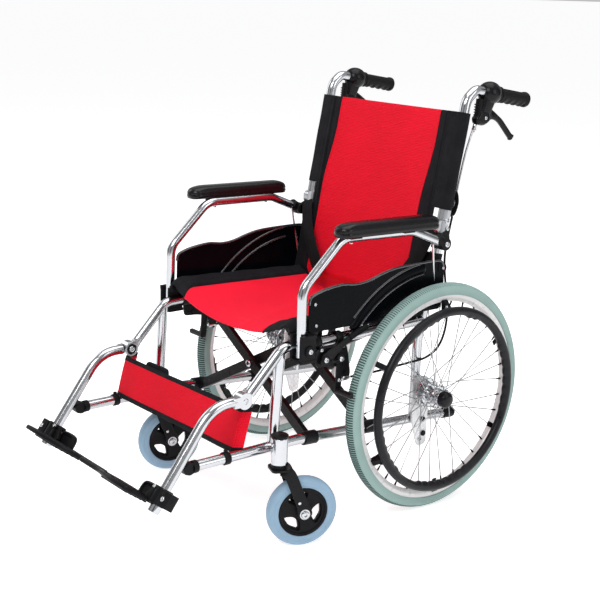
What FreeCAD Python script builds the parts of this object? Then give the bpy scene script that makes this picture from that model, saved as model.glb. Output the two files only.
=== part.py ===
"""Folding manual wheelchair with attendant brakes.

The front of the chair is toward -Y, the sitter's left side is +X and the floor is Z = 0.
Every left sub-part is built at +X and its right twin is its mirror image, except for the
casters, which trail the same way, and the footplates, whose tongues lie side by side.
"""
import FreeCAD, Part
import math
import os
import Sketcher
from FreeCAD import Placement, Rotation, Vector

doc = FreeCAD.newDocument("wheelchair")

DIMENSIONS = {
    # whole chair
    "axle_fore": 227,          # rear axle behind the middle of the chair's length
    "wheel_radius": 254,       # 20 inch drive wheel
    "wheel_track": 273,        # mid plane of a drive wheel from the centre line
    "tube_radius": 11,
    "frame_half": 213,         # lower side tube from the centre line
    "rake": 3.8,               # the frame leans back by this angle
    # drive wheels
    "tyre_half": 16,
    "rim_outer": 229,
    "rim_inner": 213,
    "rim_width": 24,
    "spoke_radius": 1.1,
    "spoke_count": 36,
    "hub_radius": 17,
    "flange_radius": 27,
    "handrim_radius": 198,
    "handrim_tube": 9.5,
    "handrim_out": 306,
    "handrim_posts": 6,
    "axle_radius": 6,
    "axle_length": 85,
    "axle_plate_thick": 5,
    "hub_nose": 42,
    "running_gap": 0.05,
    # casters
    "caster_radius": 75,
    "caster_width": 28,
    "caster_seat": 53,
    "caster_side": 247,
    "caster_fore": 410,        # swivel axis ahead of the rear axle
    "caster_trail": 50,
    "caster_windows": 3,
    "stem_radius": 8,
    "housing_radius": 15,
    "housing_low": 180,
    "housing_high": 243,
    "fork_half": 19,
    "fork_plate": 4,
    # folding cross brace
    "brace_height": 106.8,     # scissor axis above the lower side tubes
    "brace_rise": 140.7,       # seat rails above the scissor axis
    "brace_low": 213,
    "brace_high": 208,
    "bar_width": 22,
    "bar_thick": 11,
    "bar_gap": 1.5,
    "sleeve_radius": 14.5,
    "sleeve_length": 32,
    "rail_radius": 10,
    "rail_length": 345,
    "rail_pitch": 4,           # rear end of a rail above its middle
    "pin_radius": 4,
    # seat, back and straps
    "seat_depth": 360,
    "seat_half": 211,
    "seat_thick": 6,
    "seat_sag": 34,
    "back_half": 236,
    "fabric_thick": 4,
    "strap_height": 88,
    "strap_half": 198,
    "belt_width": 42,
    "belt_thick": 3,
    # armrests
    "arm_tube_radius": 10,
    "pad_length": 277,
    "pad_width": 44,
    "pad_thick": 23,
    "pad_edge": 7,
    "guard_side": 237.5,
    "guard_thick": 3,
    # parking brakes
    "parking_lever_thick": 3.6,
    "shoe_arm_thick": 3.2,
    "shoe_bar_radius": 5,
    "shoe_bar_length": 48,
    # leg rests
    "disc_radius": 17,
    "disc_side": 215,
    "disc_thick": 10.2,
    "plate_thick": 11,
    "plate_low": 8,
    "lip_top": 46,
    "hinge_in": 20,            # footplate hinge inboard of the leg rest tube
    "hinge_up": 41,
    # push handles
    "grip_radius": 15.5,
    "hand_lever_thick": 11,
    "lever_pin_radius": 2.5,
    "cable_radius": 2.6,
}

sheet = doc.addObject("Spreadsheet::Sheet", "dimensions")
for row, (name, value) in enumerate(DIMENSIONS.items(), start=1):
    sheet.set(f"A{row}", name)
    sheet.set(f"B{row}", str(value))
    sheet.setAlias(f"B{row}", name)
doc.recompute()

X_AXIS = Vector(1, 0, 0)
Y_AXIS = Vector(0, 1, 0)
Z_AXIS = Vector(0, 0, 1)


def dim(name):
    """One driving dimension in millimetres or degrees."""
    return float(getattr(sheet, name))


AXLE_Y = dim("axle_fore")


def at(x, y, z):
    """A point given with y measured from the rear axle."""
    return Vector(x, y + AXLE_Y, z)


# ---------------------------------------------------------------- shape helpers

def rod(start, end, radius):
    """A round bar between two points."""
    axis = end - start
    return Part.makeCylinder(radius, axis.Length, start, axis)


def bent_path(points, radii):
    """Straight runs through the points, joined by tangent arcs of the given radii."""
    edges = []
    last = points[0]
    for corner, before, after, radius in zip(points[1:-1], points[:-2], points[2:], radii):
        into = (corner - before).normalize()
        out = (after - corner).normalize()
        turn = into.getAngle(out)
        reach = radius * math.tan(turn / 2)
        arc_start = corner - into * reach
        arc_end = corner + out * reach
        toward_centre = (out - into).normalize()
        centre = corner + toward_centre * (radius / math.cos(turn / 2))
        arc_mid = centre - toward_centre * radius
        if (arc_start - last).Length > 1e-6:
            edges.append(Part.LineSegment(last, arc_start).toShape())
        edges.append(Part.Arc(arc_start, arc_mid, arc_end).toShape())
        last = arc_end
    edges.append(Part.LineSegment(last, points[-1]).toShape())
    return Part.Wire(edges)


def bent_tube(points, radii, radius):
    """A round bar swept along a bent path, checked against section times length."""
    path = bent_path(points, radii)
    start = points[0]
    direction = points[1] - points[0]
    section = Part.Wire([Part.makeCircle(radius, start, direction)])
    solid = path.makePipeShell([section], True, True)
    expected = math.pi * radius ** 2 * path.Length
    if abs(solid.Volume - expected) > 0.01 * expected:
        raise ValueError("a bent tube has the wrong volume")
    return solid


def rounded_wire(corners, radius):
    """A closed outline in its own plane whose corners are rounded with tangent arcs."""
    edges = []
    count = len(corners)
    ends = []
    for index, corner in enumerate(corners):
        into = (corner - corners[index - 1]).normalize()
        out = (corners[(index + 1) % count] - corner).normalize()
        turn = into.getAngle(out)
        spare = 0.45 * min((corner - corners[index - 1]).Length,
                           (corners[(index + 1) % count] - corner).Length)
        fillet = min(radius, spare / max(math.tan(turn / 2), 1e-6))
        reach = fillet * math.tan(turn / 2)
        toward_centre = (out - into).normalize()
        centre = corner + toward_centre * (fillet / math.cos(turn / 2))
        ends.append((corner - into * reach, centre - toward_centre * fillet, corner + out * reach))
    for index, (arc_start, arc_mid, arc_end) in enumerate(ends):
        edges.append(Part.Arc(arc_start, arc_mid, arc_end).toShape())
        following = ends[(index + 1) % count][0]
        edges.append(Part.LineSegment(arc_end, following).toShape())
    return Part.Wire(edges)


def plate(corners, radius, thickness):
    """A flat piece: a rounded outline pushed out along a vector."""
    return Part.Face(rounded_wire(corners, radius)).extrude(thickness)


def ring(outer, inner, centre, length):
    """A tube whose axis runs along the length vector."""
    body = Part.makeCylinder(outer, length.Length, centre, length)
    bore = Part.makeCylinder(inner, length.Length, centre, length)
    return body.cut(bore)


def joined(shapes):
    """One shape from several that touch, without leftover seams."""
    return shapes[0].fuse(shapes[1:]).removeSplitter()


# ---------------------------------------------------------------- document helpers

sub_parts = []


def keep(item, label):
    """Name a finished sub-part, which is then written out under that name."""
    item.Label = label
    sub_parts.append(item)
    return item


def feature(label, shape, placement=None):
    """A sub-part whose shape is worked out in its own frame and then placed."""
    item = doc.addObject("Part::Feature", label)
    item.Shape = shape
    if placement is not None:
        item.Placement = placement
    return keep(item, label)


def mirrored(item, label):
    """The right-hand twin of a left-hand sub-part."""
    twin = doc.addObject("Part::Mirroring", label)
    twin.Source = item
    twin.Normal = X_AXIS
    twin.Base = Vector(0, 0, 0)
    return keep(twin, label)


def pair(base, shape):
    """A left sub-part and its right twin."""
    item = feature(base + "_left", shape)
    mirrored(item, base + "_right")
    return item


def primitive(kind, name, placement, **expressions):
    """A Part primitive whose sizes follow the sheet."""
    item = doc.addObject(kind, name)
    for key, text in expressions.items():
        item.setExpression(key, text)
    item.Placement = placement
    return item


def boolean(kind, name, base, tool):
    """A parametric cut or fuse of two objects."""
    item = doc.addObject(kind, name)
    item.Base = base
    item.Tool = tool
    return item


def origin_plane(body, role):
    """One of a body's own origin planes or axes."""
    return [item for item in body.Origin.OriginFeatures if item.Role == role][0]


def copy_wire(sketch, wire):
    """Draw a flat wire in a sketch and tie its neighbouring ends together."""
    for edge in wire.Edges:
        start, end = edge.ParameterRange
        if edge.Curve.TypeId == "Part::GeomCircle":
            middle = edge.valueAt((start + end) / 2)
            sketch.addGeometry(Part.Arc(edge.valueAt(start), middle, edge.valueAt(end)))
        else:
            sketch.addGeometry(Part.LineSegment(edge.valueAt(start), edge.valueAt(end)))
    count = len(wire.Edges)
    for index in range(count):
        following = (index + 1) % count
        for here in (1, 2):
            for there in (1, 2):
                gap = sketch.getPoint(index, here) - sketch.getPoint(following, there)
                if gap.Length < 1e-4:
                    sketch.addConstraint(
                        Sketcher.Constraint("Coincident", index, here, following, there))


def drawn(body, name, wire, role="XY_Plane"):
    """A sketch on one of the body's origin planes."""
    sketch = body.newObject("Sketcher::SketchObject", name)
    sketch.AttachmentSupport = (origin_plane(body, role), "")
    sketch.MapMode = "FlatFace"
    copy_wire(sketch, wire)
    return sketch


def padded(body, name, wire, length, midplane=False):
    """A pad of a wire in the body's XY plane; its length follows the sheet."""
    pad = body.newObject("PartDesign::Pad", name)
    pad.Profile = drawn(body, name + "_sketch", wire)
    pad.Midplane = midplane
    pad.setExpression("Length", length)
    return pad


def drilled(body, name, x, y, radius):
    """A round hole through the body, along its Z axis, whose radius follows the sheet."""
    sketch = body.newObject("Sketcher::SketchObject", name + "_sketch")
    sketch.AttachmentSupport = (origin_plane(body, "XY_Plane"), "")
    sketch.MapMode = "FlatFace"
    sketch.addGeometry(Part.Circle(Vector(x, y, 0), Z_AXIS, 1))
    constraint = sketch.addConstraint(Sketcher.Constraint("Radius", 0, 1))
    sketch.renameConstraint(constraint, "hole_radius")
    sketch.setExpression("Constraints.hole_radius", radius)
    doc.recompute()
    before = body.Shape.Volume
    pocket = body.newObject("PartDesign::Pocket", name)
    pocket.Profile = sketch
    pocket.Midplane = True
    pocket.Length = 200
    doc.recompute()
    if body.Shape.Volume >= before:
        raise ValueError(name + " cuts nothing")


def turned(body, name, profile):
    """A revolution of (radius, height) points about the body's Y axis."""
    points = [Vector(radius, height, 0) for radius, height in profile]
    wire = Part.makePolygon(points + points[:1])
    revolution = body.newObject("PartDesign::Revolution", name)
    revolution.Profile = drawn(body, name + "_sketch", wire)
    revolution.ReferenceAxis = (revolution.Profile[0], ["V_Axis"])
    revolution.Angle = 360
    return revolution


def new_body(name, placement):
    """An empty PartDesign body in its place."""
    body = doc.addObject("PartDesign::Body", name)
    body.Placement = placement
    return body


def side_wire(corners, radius):
    """A rounded outline from (y, z) corners, for a body laid in SIDE_PLANE."""
    return rounded_wire([Vector(y + AXLE_Y, z, 0) for y, z in corners], radius)


def side_body(name, corners, radius, x, thickness):
    """A flat piece that stands in the chair's side view, padded outward from x."""
    body = new_body(name, Placement(Vector(x, 0, 0), SIDE_PLANE))
    padded(body, name + "_pad", side_wire(corners, radius), thickness)
    return body


# Wheels and rings turn about X, so their own Z axis is laid along X.
ALONG_X = Rotation(Y_AXIS, 90)
# A side outline drawn in (y, z) and padded outward along X.
SIDE_PLANE = Rotation(Y_AXIS, Z_AXIS, X_AXIS, "ZXY")
# A turned piece is drawn about its own Y axis, laid along X.
TURNED_ALONG_X = Rotation(Z_AXIS, -90)

tube = dim("tube_radius")
side = dim("frame_half")

# ---------------------------------------------------------------- side frames

HINGE_POINT = at(222, 48, 632)       # where the back folds
CANE_LEAN = Vector(0, 0.1944, 0.9809)
RAKE = math.radians(dim("rake"))
TUBE_REARWARD = Vector(0, math.cos(RAKE), -math.sin(RAKE))
TUBE_UPWARD = Vector(0, math.sin(RAKE), math.cos(RAKE))
LOWER_BEND = at(side, -340, 207.5)
LOWER_END = LOWER_BEND + TUBE_REARWARD * 449
SEAT_TUBE_Z = 414


def fixed_disc():
    """The frame's half of the leg rest joint, with the tongue that the hanger ends in."""
    disc_x = dim("disc_side") - dim("disc_thick") - 0.3
    across = Vector(dim("disc_thick"), 0, 0)
    disc = Part.makeCylinder(dim("disc_radius"), dim("disc_thick"), at(disc_x, -480, 322), X_AXIS)
    tongue = plate([at(disc_x, -490, 314), at(disc_x, -460, 325),
                    at(disc_x, -452, 347), at(disc_x, -472, 341)], 2, across)
    return joined([disc, tongue])


def housing():
    """The upright sleeve that a caster stem turns in."""
    low = dim("housing_low")
    height = dim("housing_high") - low
    centre = at(dim("caster_side"), -dim("caster_fore"), low)
    body = Part.makeCylinder(dim("housing_radius"), height, centre)
    web = Part.makeBox(30, 9, 36, at(208, -411, 200))
    bore = Part.makeCylinder(dim("stem_radius") + dim("running_gap"), height - 4, centre)
    return body, web, bore


def side_frame():
    """The welded tubes of one side."""
    lower = bent_tube([at(side, -598, 208), LOWER_BEND, LOWER_END], [200], tube)
    upper = bent_tube([at(217, 2, SEAT_TUBE_Z), at(222, -60, SEAT_TUBE_Z),
                       at(222, -300, SEAT_TUBE_Z), at(216, -384, SEAT_TUBE_Z),
                       at(215, -464, 332)], [60, 120, 42], tube)
    front = rod(at(214, -403, 207), at(216, -390, 404), tube)
    cane = bent_tube([at(side, -4, 186), at(215, -4, 372),
                      HINGE_POINT - CANE_LEAN * 16], [220], tube)
    body, web, bore = housing()
    post = joined([lower, upper, front, cane, body, web])
    return joined([post.cut(bore), fixed_disc()])


def cane_hinge_lower():
    """The fixed cheeks of the back's fold joint, one each side of the moving tongue."""
    cheeks = []
    for offset in (-11, 6.5):
        start = HINGE_POINT + Vector(offset, 0, 0)
        eye = Part.makeCylinder(9, 4.5, start, X_AXIS)
        strap = plate([start + Vector(0, -8, -2), start + Vector(0, 8, -2),
                       start + Vector(0, 4, -26), start + Vector(0, -12, -26)],
                      1, Vector(4.5, 0, 0))
        cheeks.append(joined([eye, strap]))
    pin = Part.makeCylinder(dim("pin_radius"), 22, HINGE_POINT + Vector(-11, 0, 0), X_AXIS)
    return cheeks + [pin]


pair("side_frame", joined([side_frame()] + cane_hinge_lower()))

# The axle plate stands outside the cane and carries the wheel's axle.
axle_plate = side_body(
    "axle_plate_blank",
    [(-26, 286), (20, 286), (24, 214), (22, 128), (-2, 120), (-24, 190)], 10, 226,
    "dimensions.axle_plate_thick")
axle_stub = primitive("Part::Cylinder", "axle_stub",
                      Placement(at(226.5, 0, dim("wheel_radius")), ALONG_X),
                      Radius="dimensions.axle_radius", Height="dimensions.axle_length")
axle_pair = boolean("Part::Fuse", "axle_plate_left", axle_plate, axle_stub)
keep(axle_pair, "axle_plate_left")
mirrored(axle_pair, "axle_plate_right")


def frame_fittings():
    """Black fittings: tip cap, housing cap, plate plugs, leg rest clip and strap clips."""
    tip = ring(13, tube, LOWER_END - TUBE_REARWARD * 22, TUBE_REARWARD * 22)
    tip_end = Part.makeCylinder(13, 12, LOWER_END, TUBE_REARWARD)
    cap = Part.makeCylinder(dim("housing_radius") + 1, 4,
                            at(dim("caster_side"), -dim("caster_fore"), dim("housing_high")))
    plugs = [Part.makeCylinder(6, 3, at(231.5, y, z), X_AXIS)
             for y, z in ((8, 186), (11, 152))]
    saddle_axis = Vector(0, 0.595, 0.804)
    saddle_centre = at(214, -638, 209)
    block = plate([at(199, -583, 196), at(199, -583, 221), at(199, -622, 232),
                   at(199, -644, 214), at(199, -632, 193), at(199, -606, 190)],
                  4, Vector(30, 0, 0))
    recess = Part.makeCylinder(tube + 0.5, 90, saddle_centre - saddle_axis * 45, saddle_axis)
    away = plate([saddle_centre + Vector(-tube - 0.5, 0, 0) - saddle_axis * 45,
                  saddle_centre + Vector(tube + 0.5, 0, 0) - saddle_axis * 45,
                  saddle_centre + Vector(tube + 0.5, 0, 0) + saddle_axis * 45,
                  saddle_centre + Vector(-tube - 0.5, 0, 0) + saddle_axis * 45],
                 0.1, Vector(0, -32, 23.7))
    lower_tube = rod(at(side, -598, 208), at(side, -560, 208), tube)
    clip = block.cut(recess).cut(away).cut(lower_tube)
    strap_clips = [ring(tube + 3.5, tube, at(side, -526, 207.8), Vector(0, 16, 0))]
    return Part.makeCompound([tip.fuse(tip_end), cap, clip] + plugs + strap_clips)


pair("frame_fittings", frame_fittings())


def arm_sockets():
    """The cradle that the armrest's front post drops into and the armrest's rear bracket."""
    rear_wall = Part.makeBox(36, 6, 52, at(222, -340, 388))
    inner_wall = Part.makeBox(4, 34, 52, at(222, -368, 388))
    outer_wall = Part.makeBox(4, 34, 52, at(254, -368, 388))
    floor = Part.makeBox(36, 34, 6, at(222, -368, 388))
    tube_clamp = Part.makeBox(8, 26, 20, at(226, -340, 404))
    upper_tube = rod(at(222, -360, SEAT_TUBE_Z), at(222, -290, SEAT_TUBE_Z), tube + 0.01)
    bolt = Part.makeCylinder(6, 4, at(258, -348, 411), X_AXIS)
    cradle = joined([rear_wall, inner_wall, outer_wall, floor, tube_clamp, bolt]).cut(upper_tube)
    hub = Part.makeCylinder(11, 6.3, at(234.5, 24, 588), X_AXIS)
    arm = plate([at(234.5, 24, 600), at(234.5, 50, 612), at(234.5, 52, 588), at(234.5, 24, 576)],
                3, Vector(4, 0, 0))
    clamp = rod(HINGE_POINT - CANE_LEAN * 62, HINGE_POINT - CANE_LEAN * 28, 15)
    cane = rod(HINGE_POINT - CANE_LEAN * 70, HINGE_POINT - CANE_LEAN * 20, tube)
    pin = Part.makeCylinder(dim("pin_radius"), 27, at(234.5, 24, 588), X_AXIS)
    bracket = joined([hub, arm, clamp, pin]).cut(cane)
    return Part.makeCompound([cradle, bracket])


pair("arm_sockets", arm_sockets())

# ---------------------------------------------------------------- drive wheels

wheel_centre = at(dim("wheel_track"), 0, dim("wheel_radius"))


def tyres():
    """A D-shaped solid tyre: a ring section with the rim's seat cut away."""
    torus = primitive("Part::Torus", "tyre_section", Placement(wheel_centre, ALONG_X),
                      Radius1="dimensions.wheel_radius - dimensions.tyre_half",
                      Radius2="dimensions.tyre_half")
    seat = primitive("Part::Cylinder", "tyre_seat",
                     Placement(wheel_centre - X_AXIS * 30, ALONG_X),
                     Radius="dimensions.rim_outer", Height="60")
    tyre = boolean("Part::Cut", "tyre_left", torus, seat)
    keep(tyre, "tyre_left")
    mirrored(tyre, "tyre_right")


def rim_hoop():
    """The rim, a plain hoop."""
    half = dim("rim_width") / 2
    return ring(dim("rim_outer"), dim("rim_inner"), wheel_centre - X_AXIS * half,
                X_AXIS * dim("rim_width"))


def crossed_spokes(hoop):
    """Crossed spokes, laced to both faces of each hub flange and ended at the rim."""
    heads = {(False, False): -18.35, (False, True): -27.2, (True, False): 10.35, (True, True): 19.2}
    reach = dim("rim_inner") + 2
    hole = dim("flange_radius") - 3
    spokes = []
    count = int(dim("spoke_count"))
    for index in range(count):
        outer_flange = index % 2 == 1
        outer_face = index % 4 < 2
        rim_angle = 2 * math.pi * index / count
        hub_angle = rim_angle + math.radians(62 if outer_face else -62)
        nipple = 1.2 if outer_flange == outer_face else -1.2
        start = wheel_centre + Vector(heads[outer_flange, outer_face],
                                      hole * math.cos(hub_angle), hole * math.sin(hub_angle))
        end = wheel_centre + Vector(nipple, reach * math.cos(rim_angle), reach * math.sin(rim_angle))
        spokes.append(rod(start, end, dim("spoke_radius")).cut(hoop))
    return Part.makeCompound(spokes)


def hubs(spokes):
    """The hub shell with two flanges, bored for the axle, its outer cap and the spokes."""
    bore = dim("axle_radius") + dim("running_gap")
    barrel = dim("hub_radius")
    flange = dim("flange_radius")
    nose = dim("hub_nose")
    body = new_body("hub_body", Placement(wheel_centre, TURNED_ALONG_X))
    turned(body, "hub_shell", [
        (bore, -38), (barrel, -38), (barrel, -24.5), (flange, -24.5), (flange, -19.5),
        (barrel, -19.5), (barrel, 11.5), (flange, 11.5), (flange, 16.5), (barrel, 16.5),
        (barrel, 24), (13, 24), (13, nose), (0, nose), (0, nose - 3), (bore, nose - 3)])
    laced = doc.addObject("Part::Compound", "wheel_hub_left")
    laced.Links = [body, spokes]
    keep(laced, "wheel_hub_left")
    mirrored(laced, "wheel_hub_right")


def handrim():
    """The push ring on its posts."""
    centre = Vector(dim("handrim_out"), wheel_centre.y, wheel_centre.z)
    shapes = [Part.makeTorus(dim("handrim_radius"), dim("handrim_tube"), centre, X_AXIS)]
    count = int(dim("handrim_posts"))
    for index in range(count):
        angle = 2 * math.pi * (index + 0.5) / count
        outward = Vector(0, math.cos(angle), math.sin(angle))
        shapes.append(rod(centre + outward * dim("handrim_radius"),
                          wheel_centre + X_AXIS * 8 + outward * (dim("rim_inner") + 1), 4.5))
    return joined(shapes)


tyres()
pair("wheel_rim", rim_hoop())
spoke_set = doc.addObject("Part::Feature", "spokes")
spoke_set.Shape = crossed_spokes(rim_hoop())
hubs(spoke_set)
pair("handrim", handrim())

# ---------------------------------------------------------------- casters

CASTER_YAW = {"left": -20, "right": -14}


def fork():
    """Crown, two legs, stem and axle, drawn with the wheel trailing along +Y."""
    radius = dim("caster_radius")
    half = dim("fork_half")
    thick = dim("fork_plate")
    trail = dim("caster_trail")
    crown = plate([Vector(-half - thick, -20, 170), Vector(half + thick, -20, 170),
                   Vector(half + thick, 22, 170), Vector(-half - thick, 22, 170)],
                  6, Vector(0, 0, 5))
    legs = []
    for start in (-half - thick, half):
        outline = [Vector(start, -20, 174), Vector(start, 20, 174), Vector(start, trail + 8, 118),
                   Vector(start, trail + 17, radius), Vector(start, trail + 4, radius - 26),
                   Vector(start, trail - 12, radius - 20), Vector(start, trail - 22, radius + 12)]
        legs.append(plate(outline, 9, Vector(thick, 0, 0)))
    stem = Part.makeCylinder(dim("stem_radius"), 62, Vector(0, 0, 174))
    axle = Part.makeCylinder(5, 2 * (half + thick) + 8, Vector(-half - thick - 4, trail, radius),
                             X_AXIS)
    return joined([crown, stem, axle] + legs)


def caster_tyre(hand, placement):
    """A rounded solid tyre, turned about the roller's axle."""
    radius = dim("caster_radius")
    half = dim("caster_width") / 2
    seat = dim("caster_seat")
    body = new_body("caster_tyre_" + hand, placement)
    outline = rounded_wire([Vector(radius, -half, 0), Vector(radius, half, 0),
                            Vector(seat - 20, half, 0), Vector(seat - 20, -half, 0)], 11)
    half_ring = Part.Face(outline).common(Part.makePlane(60, 60, Vector(seat, -30, 0)))
    revolution = body.newObject("PartDesign::Revolution", "caster_tread_" + hand)
    revolution.Profile = drawn(body, "caster_tread_sketch_" + hand, half_ring.Faces[0].OuterWire)
    revolution.ReferenceAxis = (revolution.Profile[0], ["V_Axis"])
    revolution.Angle = 360
    return body


def caster_hub(hand, placement):
    """A moulded centre: an outer ring and three broad spokes around a bored barrel."""
    bore = 5 + dim("running_gap")
    seat = dim("caster_seat")
    body = new_body("caster_wheel_" + hand, placement)
    turned(body, "caster_disc_" + hand, [
        (bore, -17), (14, -17), (14, -11), (seat, -11), (seat, 11), (14, 11), (14, 17), (bore, 17)])
    corners = []
    for radius, spread in ((20, 30), (42, 46), (44, 0), (42, -46), (20, -30)):
        angle = math.radians(90 + spread)
        corners.append(Vector(radius * math.cos(angle), radius * math.sin(angle), 0))
    doc.recompute()
    whole_volume = body.Shape.Volume
    window = body.newObject("PartDesign::Pocket", "caster_window_" + hand)
    window.Profile = drawn(body, "caster_window_sketch_" + hand, rounded_wire(corners, 7),
                           "XZ_Plane")
    window.Midplane = True
    window.Length = 60
    pattern = body.newObject("PartDesign::PolarPattern", "caster_windows_" + hand)
    pattern.Originals = [window]
    pattern.Axis = (origin_plane(body, "Y_Axis"), [""])
    pattern.Angle = 360
    pattern.setExpression("Occurrences", "dimensions.caster_windows")
    body.Tip = pattern
    doc.recompute()
    if body.Shape.Volume > whole_volume - 1000:
        raise ValueError("the caster windows are not cut")
    return body


for hand, sign in (("left", 1), ("right", -1)):
    foot = Placement(at(sign * dim("caster_side"), -dim("caster_fore"), 0),
                     Rotation(Z_AXIS, CASTER_YAW[hand]))
    wheel_middle = Vector(0, dim("caster_trail"), dim("caster_radius"))
    feature("caster_fork_" + hand, fork(), foot)
    roller = foot * Placement(wheel_middle, TURNED_ALONG_X)
    keep(caster_tyre(hand, roller), "caster_tyre_" + hand)
    keep(caster_hub(hand, roller), "caster_wheel_" + hand)

# ---------------------------------------------------------------- folding cross brace

LOW_MIDDLE = LOWER_BEND + TUBE_REARWARD * 128 - X_AXIS * side
BRACE_ORIGIN = LOW_MIDDLE + TUBE_UPWARD * dim("brace_height")
BRACE_PLACE = Placement(BRACE_ORIGIN, Rotation(X_AXIS, -dim("rake")))
FRONT_BARS = -88
REAR_BARS = 79


def seat_rail(middle):
    """A seat rail, its rear end a little higher than the scissor axis would leave it."""
    reach = dim("rail_length") / 2
    pitch = dim("rail_pitch")
    return rod(middle + Vector(0, 8 - reach, -pitch), middle + Vector(0, 8 + reach, pitch),
               dim("rail_radius"))


def brace(sign, lower_offset):
    """Two bars on sleeves round one side's lower tube, up to the other side's seat rail.

    sign is +1 for the brace that stands on the left tube. Bars of the two braces lie one
    behind the other, lower_offset from the middle of each pair.
    """
    low = Vector(sign * dim("brace_low"), 0, -dim("brace_height"))
    high = Vector(-sign * dim("brace_high"), 0, dim("brace_rise"))
    thick = dim("bar_thick")
    half = dim("bar_width") / 2
    sleeve_bore = tube + dim("running_gap")
    shapes = []
    bores = []
    for middle in (FRONT_BARS, REAR_BARS):
        depth = middle + lower_offset
        bottom = Vector(sign * 209, depth - thick / 2, low.z - 4)
        top = Vector(-sign * 201, depth - thick / 2, high.z - 28)
        along = (top - bottom).normalize()
        across = along.cross(Y_AXIS) * half
        shapes.append(plate([bottom + across, top + across, top - across, bottom - across],
                            2, Vector(0, thick, 0)))
        sleeve_start = Vector(low.x, depth - dim("sleeve_length") / 2, low.z)
        shapes.append(Part.makeCylinder(dim("sleeve_radius"), dim("sleeve_length"),
                                        sleeve_start, Y_AXIS))
        bores.append(Part.makeCylinder(sleeve_bore, dim("sleeve_length"), sleeve_start, Y_AXIS))
        saddle_x = min(-sign * 198, -sign * 208)
        saddle = Vector(saddle_x, depth - thick / 2, high.z - 34)
        shapes.append(Part.makeBox(10, thick, 34, saddle))
    shapes.append(seat_rail(high))
    return joined(shapes).cut(bores[0].fuse(bores[1]))


def scissor_pins(radius, reach):
    """The two bolts that the braces turn on."""
    length = 2 * dim("bar_thick") + dim("bar_gap") + 2 * reach
    return [Part.makeCylinder(radius, length, Vector(0, middle - length / 2, 0), Y_AXIS)
            for middle in (FRONT_BARS, REAR_BARS)]


bar_step = (dim("bar_thick") + dim("bar_gap")) / 2
pin_holes = scissor_pins(dim("pin_radius") + dim("running_gap"), 1)
standing_left = joined([brace(1, -bar_step)] + scissor_pins(dim("pin_radius"), 3))
standing_right = brace(-1, bar_step).cut(pin_holes[0].fuse(pin_holes[1]))
feature("brace_left", standing_left, BRACE_PLACE)
feature("brace_right", standing_right, BRACE_PLACE)

# ---------------------------------------------------------------- seat and back fabric


def seat():
    """The sling between the seat rails, hanging in a shallow curve."""
    half = dim("seat_half")
    sag = dim("seat_sag")
    lift = Vector(0, dim("seat_thick"), 0)
    left = Vector(-half, 0, 0)
    right = Vector(half, 0, 0)
    middle = Vector(0, -sag, 0)
    under = Part.Arc(left, middle, right).toShape()
    over = Part.Arc(left + lift, middle + lift, right + lift).toShape()
    ends = [Part.LineSegment(left, left + lift).toShape(),
            Part.LineSegment(right, right + lift).toShape()]
    profile = Part.Wire(Part.__sortEdges__([under, over] + ends))
    pitch = math.degrees(math.atan(2 * dim("rail_pitch") / dim("rail_length")))
    level = dim("brace_rise") + dim("rail_radius") + 3
    in_brace = Placement(Vector(0, 8, level), Rotation(X_AXIS, 90 + pitch))
    body = new_body("seat", BRACE_PLACE * in_brace)
    padded(body, "seat_sling", profile, "dimensions.seat_depth", True)
    return keep(body, "seat")


seat()


def back_panel(name, low, high):
    """A flat sling in front of the canes between two heights."""
    half = dim("back_half")
    height = (high - low) / CANE_LEAN.z
    start = HINGE_POINT + CANE_LEAN * ((low - HINGE_POINT.z) / CANE_LEAN.z)
    forward = X_AXIS.cross(CANE_LEAN)
    start = Vector(0, start.y, start.z) + forward * (tube + 0.8)
    body = new_body(name, Placement(start, Rotation(X_AXIS, CANE_LEAN, forward, "ZXY")))
    corners = [Vector(-half, 0, 0), Vector(half, 0, 0), Vector(half, height, 0),
               Vector(-half, height, 0)]
    padded(body, name + "_sling", rounded_wire(corners, 3), "dimensions.fabric_thick")
    return keep(body, name)


back_panel("back_lower", 442, 626)
back_panel("back_upper", 652, 862)

# ---------------------------------------------------------------- push handles


def back_cane():
    """The upper cane with its handle bend and the tongue of the fold joint."""
    top = HINGE_POINT + CANE_LEAN * 262
    handle_start = at(222, 190, 898.5)
    path = [HINGE_POINT + CANE_LEAN * 14, top, at(222, 125, 909.5), handle_start,
            at(221.3, 283, 883.4)]
    cane = bent_tube(path, [34, 22, 60], tube)
    start = HINGE_POINT + Vector(-5.9, 0, 0)
    eye = Part.makeCylinder(9, 11.8, start, X_AXIS)
    tongue = plate([start + Vector(0, -7, 2), start + Vector(0, 7, 2),
                    start + Vector(0, 10, 24), start + Vector(0, -4, 24)],
                   1, Vector(11.8, 0, 0))
    bore = Part.makeCylinder(dim("pin_radius") + dim("running_gap"), 12, start, X_AXIS)
    return joined([cane, eye, tongue]).cut(bore)


GRIP_START = at(222, 196, 897.5)
GRIP_END = at(221.3, 290, 882.3)
GRIP_AXIS = (GRIP_END - GRIP_START).normalize()


def push_grip():
    """A closed-end moulded grip over the handle."""
    grip = rod(GRIP_START, GRIP_END, dim("grip_radius"))
    edges = [edge for edge in grip.Edges if edge.Curve.TypeId == "Part::GeomCircle"]
    handle = rod(GRIP_START, at(221.3, 283, 883.4), tube)
    return grip.makeFillet(4, edges).cut(handle)


LEVER_PIVOT = at(222, 152, 849)


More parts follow.
